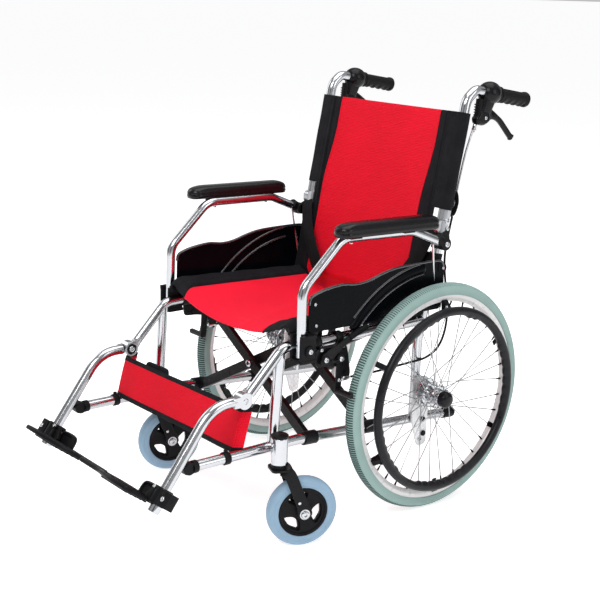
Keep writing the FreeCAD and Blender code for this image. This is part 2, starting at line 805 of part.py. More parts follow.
def lever_clamp():
    """The lever's bracket, clamped round the handle's bend."""
    clamp = rod(at(222, 141, 906.5), at(222, 168, 900.5), 17)
    handle = rod(at(222, 130, 909), at(222, 180, 897.8), tube)
    cheeks = [plate([at(x, 138, 900), at(x, 166, 896), at(x, 163, 842), at(x, 147, 838)],
                    5, Vector(3, 0, 0)) for x in (213, 228)]
    front = plate([at(213, 132, 896), at(213, 142, 898), at(213, 142, 836), at(213, 126, 834)],
                  3, Vector(18, 0, 0))
    pin = Part.makeCylinder(dim("lever_pin_radius"), 18, LEVER_PIVOT + Vector(-9, 0, 0), X_AXIS)
    return joined([clamp, front] + cheeks + [pin]).cut(handle)


def hand_levers():
    """The squeezed lever, curving down and back from its pivot."""
    pivot_y = LEVER_PIVOT.y - AXLE_Y
    pivot_z = LEVER_PIVOT.z
    offsets = [(-8, 5), (6, 9), (40, 0), (78, -26), (98, -46), (92, -52), (62, -34), (22, -13),
               (-5, -8)]
    corners = [(pivot_y + y, pivot_z + z) for y, z in offsets]
    body = side_body("hand_lever_left", corners, 5, LEVER_PIVOT.x - 5.5,
                     "dimensions.hand_lever_thick")
    drilled(body, "hand_lever_bore", LEVER_PIVOT.y, pivot_z,
            "dimensions.lever_pin_radius + dimensions.running_gap")
    keep(body, "hand_lever_left")
    mirrored(body, "hand_lever_right")


def cable_upper():
    """The brake cable from the lever's bracket down to the fold joint."""
    return bent_tube([at(222, 128, 832), at(222, 110, 790), at(221, 96, 735),
                      at(219, 80, 645)], [90, 110], dim("cable_radius"))


def cable_lower():
    """The brake cable from the fold joint round behind the cane and forward to the brake."""
    route = [at(219, 79, 637), at(218, 70, 595), at(216, 64, 545), at(216, 72, 490),
             at(216, 84, 440), at(216, 84, 385), at(218, 62, 340), at(224, 14, 324),
             at(238, -50, 330), at(243, -110, 330), at(243, -170, 329), at(243, -222, 331)]
    radii = [110, 110, 120, 90, 45, 40, 60, 110, 160, 200]
    return bent_tube(route, radii, dim("cable_radius"))


pair("back_cane", back_cane())
pair("push_grip", push_grip())
pair("lever_clamp", lever_clamp())
hand_levers()
pair("brake_cable_upper", cable_upper())
pair("brake_cable_lower", cable_lower())

# ---------------------------------------------------------------- armrests

ARM_PIVOT = at(252, 24, 588)


def armrest_tube():
    """The bent tube from the front cradle over to the rear pivot."""
    bar = bent_tube([at(240, -356, 396), at(238, -354, 534), at(238, -254, 628),
                     at(243, -66, 624), ARM_PIVOT + Vector(-1, -10, 4)], [45, 50, 60],
                    dim("arm_tube_radius"))
    eye = Part.makeCylinder(12, 16, ARM_PIVOT + Vector(-9, 0, 0), X_AXIS)
    bore = Part.makeCylinder(dim("pin_radius") + dim("running_gap"), 17,
                             ARM_PIVOT + Vector(-9, 0, 0), X_AXIS)
    guard_rod = rod(at(234.8, 20, 458), at(244, -2, 600), 2.5)
    return joined([bar, eye, guard_rod]).cut(bore)


def armpads():
    """A rounded pad along the top of the armrest tube."""
    length = dim("pad_length")
    half = dim("pad_width") / 2
    body = new_body("armpad_left", PAD_PLACE)
    outline = rounded_wire([Vector(-half, 0, 0), Vector(half, 0, 0), Vector(half, length, 0),
                            Vector(-half, length, 0)], 18)
    pad = padded(body, "armpad_blank", outline, "dimensions.pad_thick")
    doc.recompute()
    top = ["Edge" + str(index + 1) for index, edge in enumerate(pad.Shape.Edges)
           if edge.BoundBox.ZMin > dim("pad_thick") - 0.1]
    fillet = body.newObject("PartDesign::Fillet", "armpad_edge")
    fillet.Base = (pad, top)
    fillet.setExpression("Radius", "dimensions.pad_edge")
    keep(body, "armpad_left")
    mirrored(body, "armpad_right")


PAD_PLACE = Placement(at(262, -290, 638), Rotation(X_AXIS, -1.2))


armpads()


def side_guards():
    """A moulded panel with a wavy top edge and a raised arch that follows the wheel."""
    out = dim("guard_side")
    panel = side_body(
        "side_guard_panel",
        [(-338, 442), (-336, 514), (-292, 527), (-250, 531), (-212, 526), (-178, 530),
         (-140, 540), (-100, 547), (-30, 548), (34, 546), (42, 500), (32, 440)], 14, out,
        "dimensions.guard_thick")
    arch_ring = ring(288, 278, at(out + 1, 0, dim("wheel_radius")), Vector(7, 0, 0))
    sector = plate([at(out, 20, 500), at(out, 20, 560), at(out, -230, 560), at(out, -230, 462),
                    at(out, -180, 440)], 4, Vector(12, 0, 0))
    arch = doc.addObject("Part::Feature", "side_guard_arch")
    arch.Shape = arch_ring.common(sector)
    guard = boolean("Part::Fuse", "side_guard_left", panel, arch)
    keep(guard, "side_guard_left")
    mirrored(guard, "side_guard_right")


pair("armrest_tube", armrest_tube())
side_guards()

# ---------------------------------------------------------------- parking brakes

LEVER_AXIS = at(243, -298, 382)
SHOE_AXIS = at(243, -256, 377)


def brake_bracket():
    """A plate under the seat tube that carries both brake pivots."""
    outline = [at(239, -318, 410), at(239, -234, 410), at(239, -232, 332), at(239, -252, 326),
               at(239, -306, 368)]
    base = plate(outline, 6, Vector(3.5, 0, 0))
    clamp = Part.makeBox(10, 30, 13, at(229.5, -290, 397))
    upper_tube = rod(at(222, -300, SEAT_TUBE_Z), at(222, -250, SEAT_TUBE_Z), tube)
    pins = [Part.makeCylinder(dim("pin_radius"), 12, point - X_AXIS, X_AXIS)
            for point in (LEVER_AXIS, SHOE_AXIS)]
    cable_stop = Part.makeCylinder(5, 14, at(243, -230, 331), Vector(0, -1, 0))
    return joined([base, clamp, cable_stop] + pins).cut(upper_tube)


def parking_levers():
    """The parking lever, a flat bar that rises toward the rear."""
    body = side_body(
        "parking_lever_left",
        [(-310, 376), (-302, 392), (-222, 428), (-190, 440), (-186, 428), (-222, 414),
         (-288, 376), (-300, 371)], 4, 246.5, "dimensions.parking_lever_thick")
    drilled(body, "parking_lever_bore", LEVER_AXIS.y, LEVER_AXIS.z,
            "dimensions.pin_radius + dimensions.running_gap")
    keep(body, "parking_lever_left")
    mirrored(body, "parking_lever_right")


def brake_shoes():
    """The shoe arm and the bar that presses on the tyre."""
    arm = side_body(
        "brake_shoe_arm",
        [(-266, 386), (-246, 388), (-250, 330), (-254, 302), (-268, 302), (-266, 330)], 5, 243,
        "dimensions.shoe_arm_thick")
    drilled(arm, "brake_shoe_bore", SHOE_AXIS.y, SHOE_AXIS.z,
            "dimensions.pin_radius + dimensions.running_gap")
    bar = primitive("Part::Cylinder", "brake_shoe_bar", Placement(at(243, -261, 309), ALONG_X),
                    Radius="dimensions.shoe_bar_radius", Height="dimensions.shoe_bar_length")
    shoe = boolean("Part::Fuse", "brake_shoe_left", arm, bar)
    keep(shoe, "brake_shoe_left")
    mirrored(shoe, "brake_shoe_right")


pair("brake_bracket", brake_bracket())
parking_levers()
brake_shoes()

# ---------------------------------------------------------------- leg rests

DISC_POINT = at(dim("disc_side"), -480, 322)
FOOT_POINT = at(216, -688, 141)
FOOT_UP = Vector(0, 0.595, 0.804)        # up along the leg rest tube
FOOT_FORE = Vector(0, -0.804, 0.595)     # the way the toes point
FOOT_PLACE = Placement(FOOT_POINT, Rotation(X_AXIS * -1, FOOT_FORE, FOOT_UP, "ZXY"))


def legrest_tube():
    """The moving half of the disc joint and the tube that curves down to the footplate."""
    knee = at(215, -554, 323)
    start = at(215, -500, 321.6)
    bar = bent_tube([start, knee, FOOT_POINT], [80], tube)
    disc_x = dim("disc_side") + 0.3
    disc = Part.makeCylinder(dim("disc_radius"), dim("disc_thick"), at(disc_x, -480, 322), X_AXIS)
    tongue = plate([at(disc_x, -484, 333), at(disc_x, -506, 332), at(disc_x, -506, 311),
                    at(disc_x, -484, 311)], 1, Vector(dim("disc_thick"), 0, 0))
    return joined([bar, disc, tongue])


def footplate_hub():
    """The block clamped on the foot of the tube, with one hinge knuckle.

    It is drawn with X inboard from the tube, Y toward the toes and Z up the tube.
    """
    block = Part.makeBox(57.5, 31, 34, Vector(-38, -14, 12))
    edges = [edge for edge in block.Edges if abs(edge.tangentAt(0).y) > 0.9]
    block = block.makeFillet(4, edges)
    hollow = Part.makeCylinder(tube, 80, Vector(0, 0, -10))
    relief = Part.makeCylinder(6, 31, Vector(dim("hinge_in"), -14, dim("hinge_up")), Y_AXIS)
    knuckle = Part.makeCylinder(5, 9, Vector(dim("hinge_in"), -14, dim("hinge_up")), Y_AXIS)
    neck = Part.makeBox(8, 9, 9, Vector(11, -14, 32))
    pin = Part.makeCylinder(2.5, 28, Vector(dim("hinge_in"), -12, dim("hinge_up")), Y_AXIS)
    return joined([block.cut(relief), knuckle, neck]).cut(hollow).fuse(pin).removeSplitter()


def footplate(tongue_low, tongue_high):
    """A tapered plate with a heel lip; its tongue runs past the middle of the chair."""
    low = dim("plate_low")
    front = [(7, 20), (7, 76), (62, 78), (112, 66), (148, 50)]
    tip = [(160, tongue_high), (231, tongue_high), (231, tongue_low), (160, tongue_low)]
    rear = [(148, -10), (30, -14), (21, 2), (21, 20)]
    outline = [Vector(x, y, low) for x, y in front + tip + rear]
    slab = plate(outline, 8, Vector(0, 0, dim("plate_thick")))
    lip = Part.makeBox(52, 10, dim("lip_top") - low - 3, Vector(24, -14, low))
    lip_edges = [edge for edge in lip.Edges if abs(edge.tangentAt(0).y) > 0.9]
    lip = lip.makeFillet(6, lip_edges)
    hinge = Vector(dim("hinge_in"), -4, dim("hinge_up"))
    knuckle = Part.makeCylinder(5, 18, hinge, Y_AXIS)
    neck = Part.makeBox(9, 18, 9, hinge + Vector(3, 0, -9))
    web = Part.makeBox(8, 18, dim("hinge_up") - low - 5, Vector(26, -4, low))
    bore = Part.makeCylinder(2.55, 32, hinge - Y_AXIS * 6, Y_AXIS)
    return joined([slab, lip, knuckle, neck, web]).cut(bore)


pair("legrest_tube", legrest_tube())
hub_left = feature("footplate_hub_left", footplate_hub(), FOOT_PLACE)
mirrored(hub_left, "footplate_hub_right")
feature("footplate_left", footplate(20, 46), FOOT_PLACE)
right_blank = doc.addObject("Part::Feature", "footplate_right_blank")
right_blank.Shape = footplate(-9, 16.5)
right_blank.Placement = FOOT_PLACE
mirrored(right_blank, "footplate_right")

# ---------------------------------------------------------------- calf strap and lap belt


def calf_strap():
    """The band behind the calves, turned back a little at both ends."""
    thick = dim("fabric_thick")
    half = dim("strap_half")
    wide = half + thick
    inner = bent_path([Vector(-half, 34, 0), Vector(-half, 0, 0), Vector(half, 0, 0),
                       Vector(half, 34, 0)], [16, 16])
    outer = bent_path([Vector(-wide, 34, 0), Vector(-wide, -thick, 0), Vector(wide, -thick, 0),
                       Vector(wide, 34, 0)], [16 + thick, 16 + thick])
    caps = [Part.LineSegment(Vector(sign * half, 34, 0), Vector(sign * wide, 34, 0)).toShape()
            for sign in (-1, 1)]
    band = Part.Wire(Part.__sortEdges__(inner.Edges + outer.Edges + caps))
    body = new_body("calf_strap", Placement(at(0, -496, 216), Rotation(X_AXIS, -16)))
    padded(body, "calf_strap_band", band, "dimensions.strap_height")
    return keep(body, "calf_strap")


def lap_belts():
    """Webbing from the cane, forward along the back and down to the seat."""
    thick = dim("belt_thick")
    line = [(16, 560), (-6, 490), (-34, 462)]
    corners = line + [(y - thick, z) for y, z in reversed(line)]
    body = side_body("lap_belt_left", corners, 0.4, 165, "dimensions.belt_width")
    keep(body, "lap_belt_left")
    mirrored(body, "lap_belt_right")


calf_strap()
lap_belts()

# ---------------------------------------------------------------- room between neighbours


def relieved(label, *neighbours):
    """Cut a sub-part back by the neighbours that pass through its place."""
    named = {item.Label: item for item in sub_parts}
    item = named[label]
    place = sub_parts.index(item)
    for count, neighbour in enumerate(neighbours):
        item.Label = label + "_blank" + str(count)
        item = boolean("Part::Cut", label + "_cut" + str(count), item, named[neighbour])
        item.Label = label
    sub_parts[place] = item


doc.recompute()
for hand in ("left", "right"):
    relieved("arm_sockets_" + hand, "side_frame_" + hand, "armrest_tube_" + hand)
    relieved("back_lower", "arm_sockets_" + hand, "armrest_tube_" + hand)
    relieved("side_guard_" + hand, "armrest_tube_" + hand)
    relieved("lever_clamp_" + hand, "back_cane_" + hand)
    relieved("push_grip_" + hand, "back_cane_" + hand)
    relieved("footplate_hub_" + hand, "footplate_" + hand, "legrest_tube_" + hand)
    relieved("frame_fittings_" + hand, "side_frame_" + hand, "legrest_tube_" + hand)
    relieved("handrim_" + hand, "wheel_rim_" + hand)

# ---------------------------------------------------------------- write everything

doc.recompute()
for item in doc.Objects:
    if "Invalid" in item.State or "Error" in item.State:
        raise ValueError(item.Label + " failed: " + str(item.State))

os.makedirs("parts", exist_ok=True)
whole = FreeCAD.BoundBox()
for item in sub_parts:
    shape = item.Shape
    if shape.isNull() or not shape.isValid():
        raise ValueError(item.Label + " has no valid shape")
    shape.exportStep("parts/" + item.Label + ".step")
    box = shape.BoundBox
    whole.add(box)
    print(f"{item.Label:24s} solids {len(shape.Solids)} volume {shape.Volume / 1000:9.1f} cm3")
print("nodes", len(sub_parts))
print("x", round(whole.XMin, 2), round(whole.XMax, 2), "y", round(whole.YMin, 2),
      round(whole.YMax, 2), "z", round(whole.ZMin, 2), round(whole.ZMax, 2))
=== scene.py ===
from math import atan2, copysign, cos, degrees, exp, hypot, pi, radians, sin, sqrt

import bmesh
import bpy
from mathutils import Matrix, Vector


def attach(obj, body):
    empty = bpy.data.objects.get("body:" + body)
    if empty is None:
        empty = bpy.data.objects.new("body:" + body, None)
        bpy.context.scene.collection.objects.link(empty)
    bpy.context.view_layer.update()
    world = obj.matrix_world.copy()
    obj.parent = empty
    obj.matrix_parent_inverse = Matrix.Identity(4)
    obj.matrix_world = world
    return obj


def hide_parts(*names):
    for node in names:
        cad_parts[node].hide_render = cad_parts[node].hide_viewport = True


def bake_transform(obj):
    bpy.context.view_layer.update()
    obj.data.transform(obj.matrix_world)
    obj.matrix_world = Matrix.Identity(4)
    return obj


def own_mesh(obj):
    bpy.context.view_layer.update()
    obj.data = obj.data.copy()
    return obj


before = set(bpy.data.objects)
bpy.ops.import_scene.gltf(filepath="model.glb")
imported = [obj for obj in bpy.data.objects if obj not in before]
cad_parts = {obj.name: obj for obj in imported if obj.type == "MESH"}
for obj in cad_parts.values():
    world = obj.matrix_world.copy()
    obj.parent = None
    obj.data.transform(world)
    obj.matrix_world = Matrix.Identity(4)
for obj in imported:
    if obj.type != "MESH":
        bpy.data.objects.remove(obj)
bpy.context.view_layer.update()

SIDES = (("left", 1), ("right", -1))
AXLE_Y = 227.0                      # the rear axle behind the middle of the chair, in mm
X = Vector((1, 0, 0))
Y = Vector((0, 1, 0))
Z = Vector((0, 0, 1))
TUBE = 11.05                        # the bore of a part that fits round a frame tube
SHARP = radians(50)
scene = bpy.context.scene
scene.view_settings.view_transform = "Standard"


def smooth_step(t):
    t = max(0.0, min(1.0, t))
    return t * t * (3 - 2 * t)


def mix(a, b, t):
    return a + (b - a) * t


# ------------------------------------------------------------------ materials

class Nodes:
    """A principled material whose colour, roughness and relief come from nodes."""

    def __init__(self, name, rough, metallic=0.0):
        self.mat = bpy.data.materials.new(name)
        self.mat.use_nodes = True
        self.tree = self.mat.node_tree
        self.shader = self.tree.nodes["Principled BSDF"]
        self.shader.inputs["Metallic"].default_value = metallic
        self.shader.inputs["Roughness"].default_value = rough
        self.coords = self.tree.nodes.new("ShaderNodeTexCoord")

    def add(self, kind, **sockets):
        node = self.tree.nodes.new("ShaderNode" + kind)
        for key, value in sockets.items():
            name = key.replace("_", " ")
            if name in node.inputs:
                node.inputs[name].default_value = value
        return node

    def link(self, a, b):
        self.tree.links.new(a, b)

    def noise(self, scale, detail=3.0, source="Object"):
        node = self.add("TexNoise", Scale=scale, Detail=detail)
        self.link(self.coords.outputs[source], node.inputs["Vector"])
        return node.outputs["Fac"]

    def ramp(self, source, stops):
        node = self.tree.nodes.new("ShaderNodeValToRGB")
        elements = node.color_ramp.elements
        while len(elements) < len(stops):
            elements.new(0.5)
        for element, (place, colour) in zip(elements, stops):
            element.position = place
            element.color = (*colour, 1)
        self.link(source, node.inputs["Fac"])
        return node.outputs["Color"]

    def colour(self, source, stops):
        self.link(self.ramp(source, stops), self.shader.inputs["Base Color"])

    def rough(self, source, low, high):
        node = self.add("MapRange", From_Min=0.3, From_Max=0.7, To_Min=low, To_Max=high)
        self.link(source, node.inputs["Value"])
        self.link(node.outputs["Result"], self.shader.inputs["Roughness"])

    def bump(self, source, strength, distance, under=None):
        node = self.add("Bump", Strength=strength, Distance=distance)
        self.link(source, node.inputs["Height"])
        if under is not None:
            self.link(under, node.inputs["Normal"])
        self.link(node.outputs["Normal"], self.shader.inputs["Normal"])
        return node.outputs["Normal"]

    def times(self, a, b):
        node = self.tree.nodes.new("ShaderNodeMath")
        node.operation = "MULTIPLY"
        self.link(a, node.inputs[0])
        self.link(b, node.inputs[1])
        return node.outputs[0]

    def set(self, **sockets):
        for key, value in sockets.items():
            self.shader.inputs[key.replace("_", " ")].default_value = value


def shade(colour, factor):
    return tuple(min(1.0, c * factor) for c in colour)


def plain(name, colour, rough, metallic=0.0, vary=0.12, scale=35.0, grain=900.0,
        grain_depth=0.00004, grain_strength=0.3, rough_spread=0.08, **sockets):
    """A solid material with cloudy colour and gloss, and a fine grain."""
    n = Nodes(name, rough, metallic)
    cloud = n.noise(scale)
    n.colour(cloud, [(0.3, shade(colour, 1 - vary)), (0.7, shade(colour, 1 + vary))])
    n.rough(n.noise(scale * 2.3), rough - rough_spread, rough + rough_spread)
    n.bump(n.noise(grain, 2.0), grain_strength, grain_depth)
    n.set(**sockets)
    return n.mat


CHROME = plain("chrome", (0.50, 0.51, 0.53), 0.15, 1.0, vary=0.02, grain=200, grain_depth=0.000002,
    grain_strength=0.02, rough_spread=0.03)
SLEEVE = plain("sleeve_steel", (0.46, 0.47, 0.49), 0.31, 1.0, vary=0.02, grain=200,
    grain_depth=0.000002, grain_strength=0.02, rough_spread=0.03)
WHITE_STEEL = plain("white_steel", (0.70, 0.71, 0.72), 0.26, 0.25, vary=0.03, grain_depth=0.00001,
    grain_strength=0.1, Coat_Weight=0.4, Coat_Roughness=0.15)
SPOKE = plain("spoke_steel", (0.34, 0.35, 0.36), 0.3, 0.9, vary=0.06, grain_strength=0.02)
CABLE_STEEL = plain("cable_sheath", (0.50, 0.51, 0.53), 0.3, 0.8, vary=0.06)
RIM = plain("rim_alloy", (0.66, 0.65, 0.65), 0.32, 0.1, vary=0.02, grain_depth=0.00001,
    grain_strength=0.1, Coat_Weight=0.2, Coat_Roughness=0.2)
BLACK_PLASTIC = plain("black_plastic", (0.006, 0.006, 0.007), 0.42, vary=0.25, grain=1400,
    grain_depth=0.00003, grain_strength=0.1, Specular_IOR_Level=0.10)
GUARD_PLASTIC = plain("guard_plastic", (0.0015, 0.002, 0.003), 0.24, vary=0.2, grain=900,
    grain_depth=0.00001, grain_strength=0.04, rough_spread=0.03, Specular_IOR_Level=0.05)
# a lighter, glossier copy of the guard's plastic for the rolled top and the fine ridges: painted
# highlight
GUARD_EDGE_HIGHLIGHT = plain("guard_edge", (0.016, 0.017, 0.021), 0.2, grain_strength=0.02,
    rough_spread=0.03, Specular_IOR_Level=0.7, Coat_Weight=0.6, Coat_Roughness=0.12)
GLOSS_BLACK = plain("gloss_black", (0.005, 0.005, 0.006), 0.22, vary=0.25, grain=900,
    grain_depth=0.00002, grain_strength=0.06, Specular_IOR_Level=0.16)
PAD_VINYL = plain("pad_vinyl", (0.004, 0.004, 0.005), 0.25, vary=0.2, grain=500,
    grain_depth=0.00001, grain_strength=0.03, rough_spread=0.03, Specular_IOR_Level=0.24)
BLACK_STEEL = plain("black_steel", (0.006, 0.006, 0.007), 0.32, vary=0.2, grain=1000,
    grain_depth=0.00002, grain_strength=0.06, Specular_IOR_Level=0.12)
RIM_GRIP = plain("handrim_coating", (0.008, 0.008, 0.010), 0.34, vary=0.15, grain=1200,
    grain_depth=0.00002, grain_strength=0.08, Specular_IOR_Level=0.18)
BLACK_RUBBER = plain("black_rubber", (0.006, 0.006, 0.006), 0.5, vary=0.2, grain=1500,
    grain_depth=0.00006, grain_strength=0.2, Specular_IOR_Level=0.12)
TYRE = plain("tyre_rubber", (0.235, 0.335, 0.315), 0.66, vary=0.05, scale=18, grain=1200,
    grain_depth=0.00005, Specular_IOR_Level=0.2)
# a shaded copy of the tyre rubber for the faces inside the rib grooves: painted shade in the
# grooves
GROOVE_PAINTED_SHADE = plain("tread_groove", (0.045, 0.080, 0.075), 0.75, vary=0.05, scale=18,
    Specular_IOR_Level=0.1)
CASTER_RUBBER = plain("caster_rubber", (0.215, 0.325, 0.43), 0.52, vary=0.06, scale=25, grain=1200,
    grain_depth=0.00005, Specular_IOR_Level=0.3)


MIX_A, MIX_B, MIX_RESULT = 6, 7, 2       # the colour sockets of a Mix node


def knit(name, bright, painted_shade, pitch, depth, rough=0.8, sheen=0.02):
    """A knitted spacer mesh: small round holes in offset rows, on fabric coordinates; the holes
    are filled with painted shade, a shaded copy of the colour.
    """
    n = Nodes(name, rough)
    n.set(Sheen_Weight=sheen, Sheen_Roughness=0.5, Specular_IOR_Level=0.12)
    cells = n.add("TexVoronoi", Scale=1.0 / pitch, Randomness=0.18)
    n.link(n.coords.outputs["UV"], cells.inputs["Vector"])
    distance = cells.outputs["Distance"]
    hole = n.ramp(distance, [(0.10, (0, 0, 0)), (0.42, (1, 1, 1))])
    cloud = n.noise(9.0)
    shades = n.ramp(cloud, [(0.3, shade(bright, 0.93)), (0.7, shade(bright, 1.05))])
    # the holes take the second, shaded colour: painted shade in the mesh's holes; the bump below
    # gives their real relief
    mixed = n.tree.nodes.new("ShaderNodeMix")
    mixed.data_type = "RGBA"
    n.link(hole, mixed.inputs["Factor"])
    mixed.inputs[MIX_A].default_value = (*painted_shade, 1)
    n.link(shades, mixed.inputs[MIX_B])
    n.link(mixed.outputs[MIX_RESULT], n.shader.inputs["Base Color"])
    fine = n.noise(2600.0, 2.0)
    first = n.bump(fine, 0.35, 0.00015)
    n.bump(hole, 0.8, depth, first)
    return n.mat


# each mesh's second colour is a shaded copy, painted into its holes as painted shade
RED_MESH = knit("red_mesh", (0.72, 0.004, 0.021), (0.36, 0.001, 0.005), 0.0034, 0.0006)
# the seat's red mesh is a lighter copy of the back's red mesh, holes too: painted light where the
# seat faces up to the lamps
SEAT_RED_PAINTED_LIGHT = knit("seat_red_mesh", (0.83, 0.008, 0.034), (0.48, 0.002, 0.010), 0.0034, 0.0005)


def woven(name, colour, pitch, rough=0.75, sheen=0.01):
    """A plain weave: two crossed sets of threads on fabric coordinates."""
    n = Nodes(name, rough)
    n.set(Sheen_Weight=sheen, Sheen_Roughness=0.4, Specular_IOR_Level=0.10)
    waves = []
    for axis in ("X", "Y"):
        wave = n.add("TexWave", Scale=0.5 / pitch, Distortion=0.6, Detail=1.0)
        wave.bands_direction = axis
        n.link(n.coords.outputs["UV"], wave.inputs["Vector"])
        waves.append(wave.outputs["Fac"])
    threads = n.times(*waves)
    cloud = n.noise(24.0)
    n.colour(cloud, [(0.3, shade(colour, 0.8)), (0.7, shade(colour, 1.25))])
    n.rough(n.noise(60.0), rough - 0.08, rough + 0.08)
    soft = n.bump(n.noise(38.0, 2.0), 0.25, 0.002)
    n.bump(threads, 0.6, 0.0003, soft)
    return n.mat


BLACK_FABRIC = woven("black_nylon", (0.008, 0.008, 0.010), 0.0011)
WEBBING = woven("black_webbing", (0.008, 0.008, 0.009), 0.0022)


# ------------------------------------------------------------------ mesh building

class Shape:
    """Vertices in mm from the rear axle's line, faces, and a material for each face."""

    def __init__(self, *materials):
        self.materials = list(materials)
        self.verts = []
        self.faces = []
        self.slots = []
        self.uvs = {}

    def add(self, verts, faces, slot=0, uvs=None):
        base = len(self.verts)
        self.verts += [Vector(v) for v in verts]
        for face in faces:
            self.faces.append([base + i for i in face])
            self.slots.append(slot)
        if uvs is not None:
            for i, uv in enumerate(uvs):
                self.uvs[base + i] = uv
        return self

    def placed(self, place):
        self.verts = [place(v) for v in self.verts]
        return self

    def mirrored(self, sign):
        if sign > 0:
            return self
        self.faces = [list(reversed(f)) for f in self.faces]
        return self.placed(lambda v: Vector((-v.x, v.y, v.z)))

    def make(self, name, angle=40, bevel=0.0, segments=2, loose=False):
        """The finished object; a loose sheet keeps its points and its faces' direction."""
        mesh = bpy.data.meshes.new(name)
        mesh.from_pydata([(v.x / 1000, (v.y + AXLE_Y) / 1000, v.z / 1000) for v in self.verts], [],
            self.faces)
        for material in self.materials:
            mesh.materials.append(material)
        for polygon, slot in zip(mesh.polygons, self.slots):
            polygon.material_index = slot
        if self.uvs:
            layer = mesh.uv_layers.new(name="weave")
            for loop in mesh.loops:
                layer.data[loop.index].uv = self.uvs.get(loop.vertex_index, (0, 0))
        bm = bmesh.new()
        bm.from_mesh(mesh)
        if not loose:
            bmesh.ops.remove_doubles(bm, verts=bm.verts, dist=1e-6)
            bmesh.ops.dissolve_degenerate(bm, edges=bm.edges, dist=1e-7)
            bmesh.ops.recalc_face_normals(bm, faces=bm.faces)
        bm.to_mesh(mesh)
        bm.free()
        mesh.shade_smooth()
        mesh.set_sharp_from_angle(angle=radians(angle))
        obj = bpy.data.objects.new(name, mesh)
        scene.collection.objects.link(obj)
        if bevel:
            modifier = obj.modifiers.new("edges", "BEVEL")
            modifier.width = bevel / 1000
            modifier.segments = segments
            modifier.limit_method = "ANGLE"
            modifier.angle_limit = radians(35)
        return obj


def grid(rows, columns, wrap_rows=False, wrap_columns=False):
    faces = []
    for r in range(rows if wrap_rows else rows - 1):
        for c in range(columns if wrap_columns else columns - 1):
            r2 = (r + 1) % rows
            c2 = (c + 1) % columns
            faces.append([r * columns + c, r * columns + c2, r2 * columns + c2, r2 * columns + c])
    return faces


def axes_of(direction):
    along = Vector(direction).normalized()
    side = along.cross(Z if abs(along.z) < 0.9 else X).normalized()
    return along, side, side.cross(along)


def lathe(shape, centre, axis, profile, slot=0, steps=48, warp=None):
    """Turns (along, radius) points about an axis; a profile that ends on the axis stays open."""
    along, side, other = axes_of(axis)
    centre = Vector(centre)
    verts = []
    for step in range(steps):
        angle = 2 * pi * step / steps
        out = side * cos(angle) + other * sin(angle)
        for a, r in profile:
            if warp:
                r = warp(a, r, angle)
            verts.append(centre + along * a + out * r)
    faces = []
    count = len(profile)
    for step in range(steps):
        following = (step + 1) % steps
        for i in range(count if profile[-1][1] else count - 1):
            j = (i + 1) % count
            faces.append([step * count + i, following * count + i, following * count + j,
                step * count + j])
    return shape.add(verts, faces, slot)


def rod(shape, start, end, radius, slot=0, steps=16, round_end=0.8, tip=None):
    """A round bar with softly rounded ends."""
    start, end = Vector(start), Vector(end)
    length = (end - start).length
    tip = radius if tip is None else tip
    e = min(round_end, length / 3, radius * 0.6, tip * 0.6)
    profile = [(0, 0), (0, radius - e), (e * 0.3, radius - e * 0.3), (e, radius),
        (length - e, tip), (length - e * 0.3, tip - e * 0.3), (length, tip - e), (length, 0)]
    return lathe(shape, start, end - start, profile, slot, steps)


def smooth_path(points, per_span=8):
    """A Catmull-Rom line through the points."""
    points = [Vector(p) for p in points]
    line = [points[0] * 2 - points[1]] + points + [points[-1] * 2 - points[-2]]
    out = []
    for p0, p1, p2, p3 in zip(line, line[1:], line[2:], line[3:]):
        for k in range(per_span):
            t = k / per_span
            out.append(0.5 * ((2 * p1) + (p2 - p0) * t + (2 * p0 - 5 * p1 + 4 * p2 - p3) * t * t
                + (3 * p1 - p0 - 3 * p2 + p3) * t ** 3))
    out.append(points[-1])
    return out


def sweep(shape, path, section, slot=0, closed=False, up=None, uv=False):
    """Carries a closed section of (side, up) points, or a function of the share, along a path."""
    path = [Vector(p) for p in path]
    count = len(path)
    verts = []
    uvs = []
    lift = Vector(up) if up is not None else None
    previous = None
    length = 0.0
    for i, point in enumerate(path):
        before = path[i - 1] if (i or closed) else path[0]
        after = path[(i + 1) % count] if (i + 1 < count or closed) else path[-1]
        tangent = (after - before).normalized()
        if lift is not None:
            side = tangent.cross(lift).normalized()
        elif previous is None:
            side = tangent.cross(Z if abs(tangent.z) < 0.9 else X).normalized()
        else:
            side = (previous - tangent * previous.dot(tangent)).normalized()
        previous = side
        top = side.cross(tangent)
        share = i / (count - 1) if count > 1 else 0
        ring = section(share) if callable(section) else section
        if i:
            length += (point - path[i - 1]).length
        for a, b in ring:
            verts.append(point + side * a + top * b)
            uvs.append((a / 1000, length / 1000))
    size = len(ring)
    faces = grid(count, size, wrap_rows=closed, wrap_columns=True)
    if not closed:
        faces.append(list(reversed(range(size))))
        faces.append([(count - 1) * size + i for i in range(size)])
    return shape.add(verts, faces, slot, uvs if uv else None)


def circle(radius, steps, centre=(0, 0)):
    return [(centre[0] + radius * cos(2 * pi * i / steps), centre[1]
        + radius * sin(2 * pi * i / steps)) for i in range(steps)]


def rounded_box(wide, high, corner, steps=4):
    """A rounded rectangle section centred on the origin."""
    out = []
    for cx, cy, start in ((wide / 2 - corner, high / 2 - corner, 0),
            (corner - wide / 2, high / 2 - corner, 90), (corner - wide / 2, corner - high / 2,
            180), (wide / 2 - corner, corner - high / 2, 270)):
        for k in range(steps + 1):
            angle = radians(start + 90 * k / steps)
            out.append((cx + corner * cos(angle), cy + corner * sin(angle)))
    return out


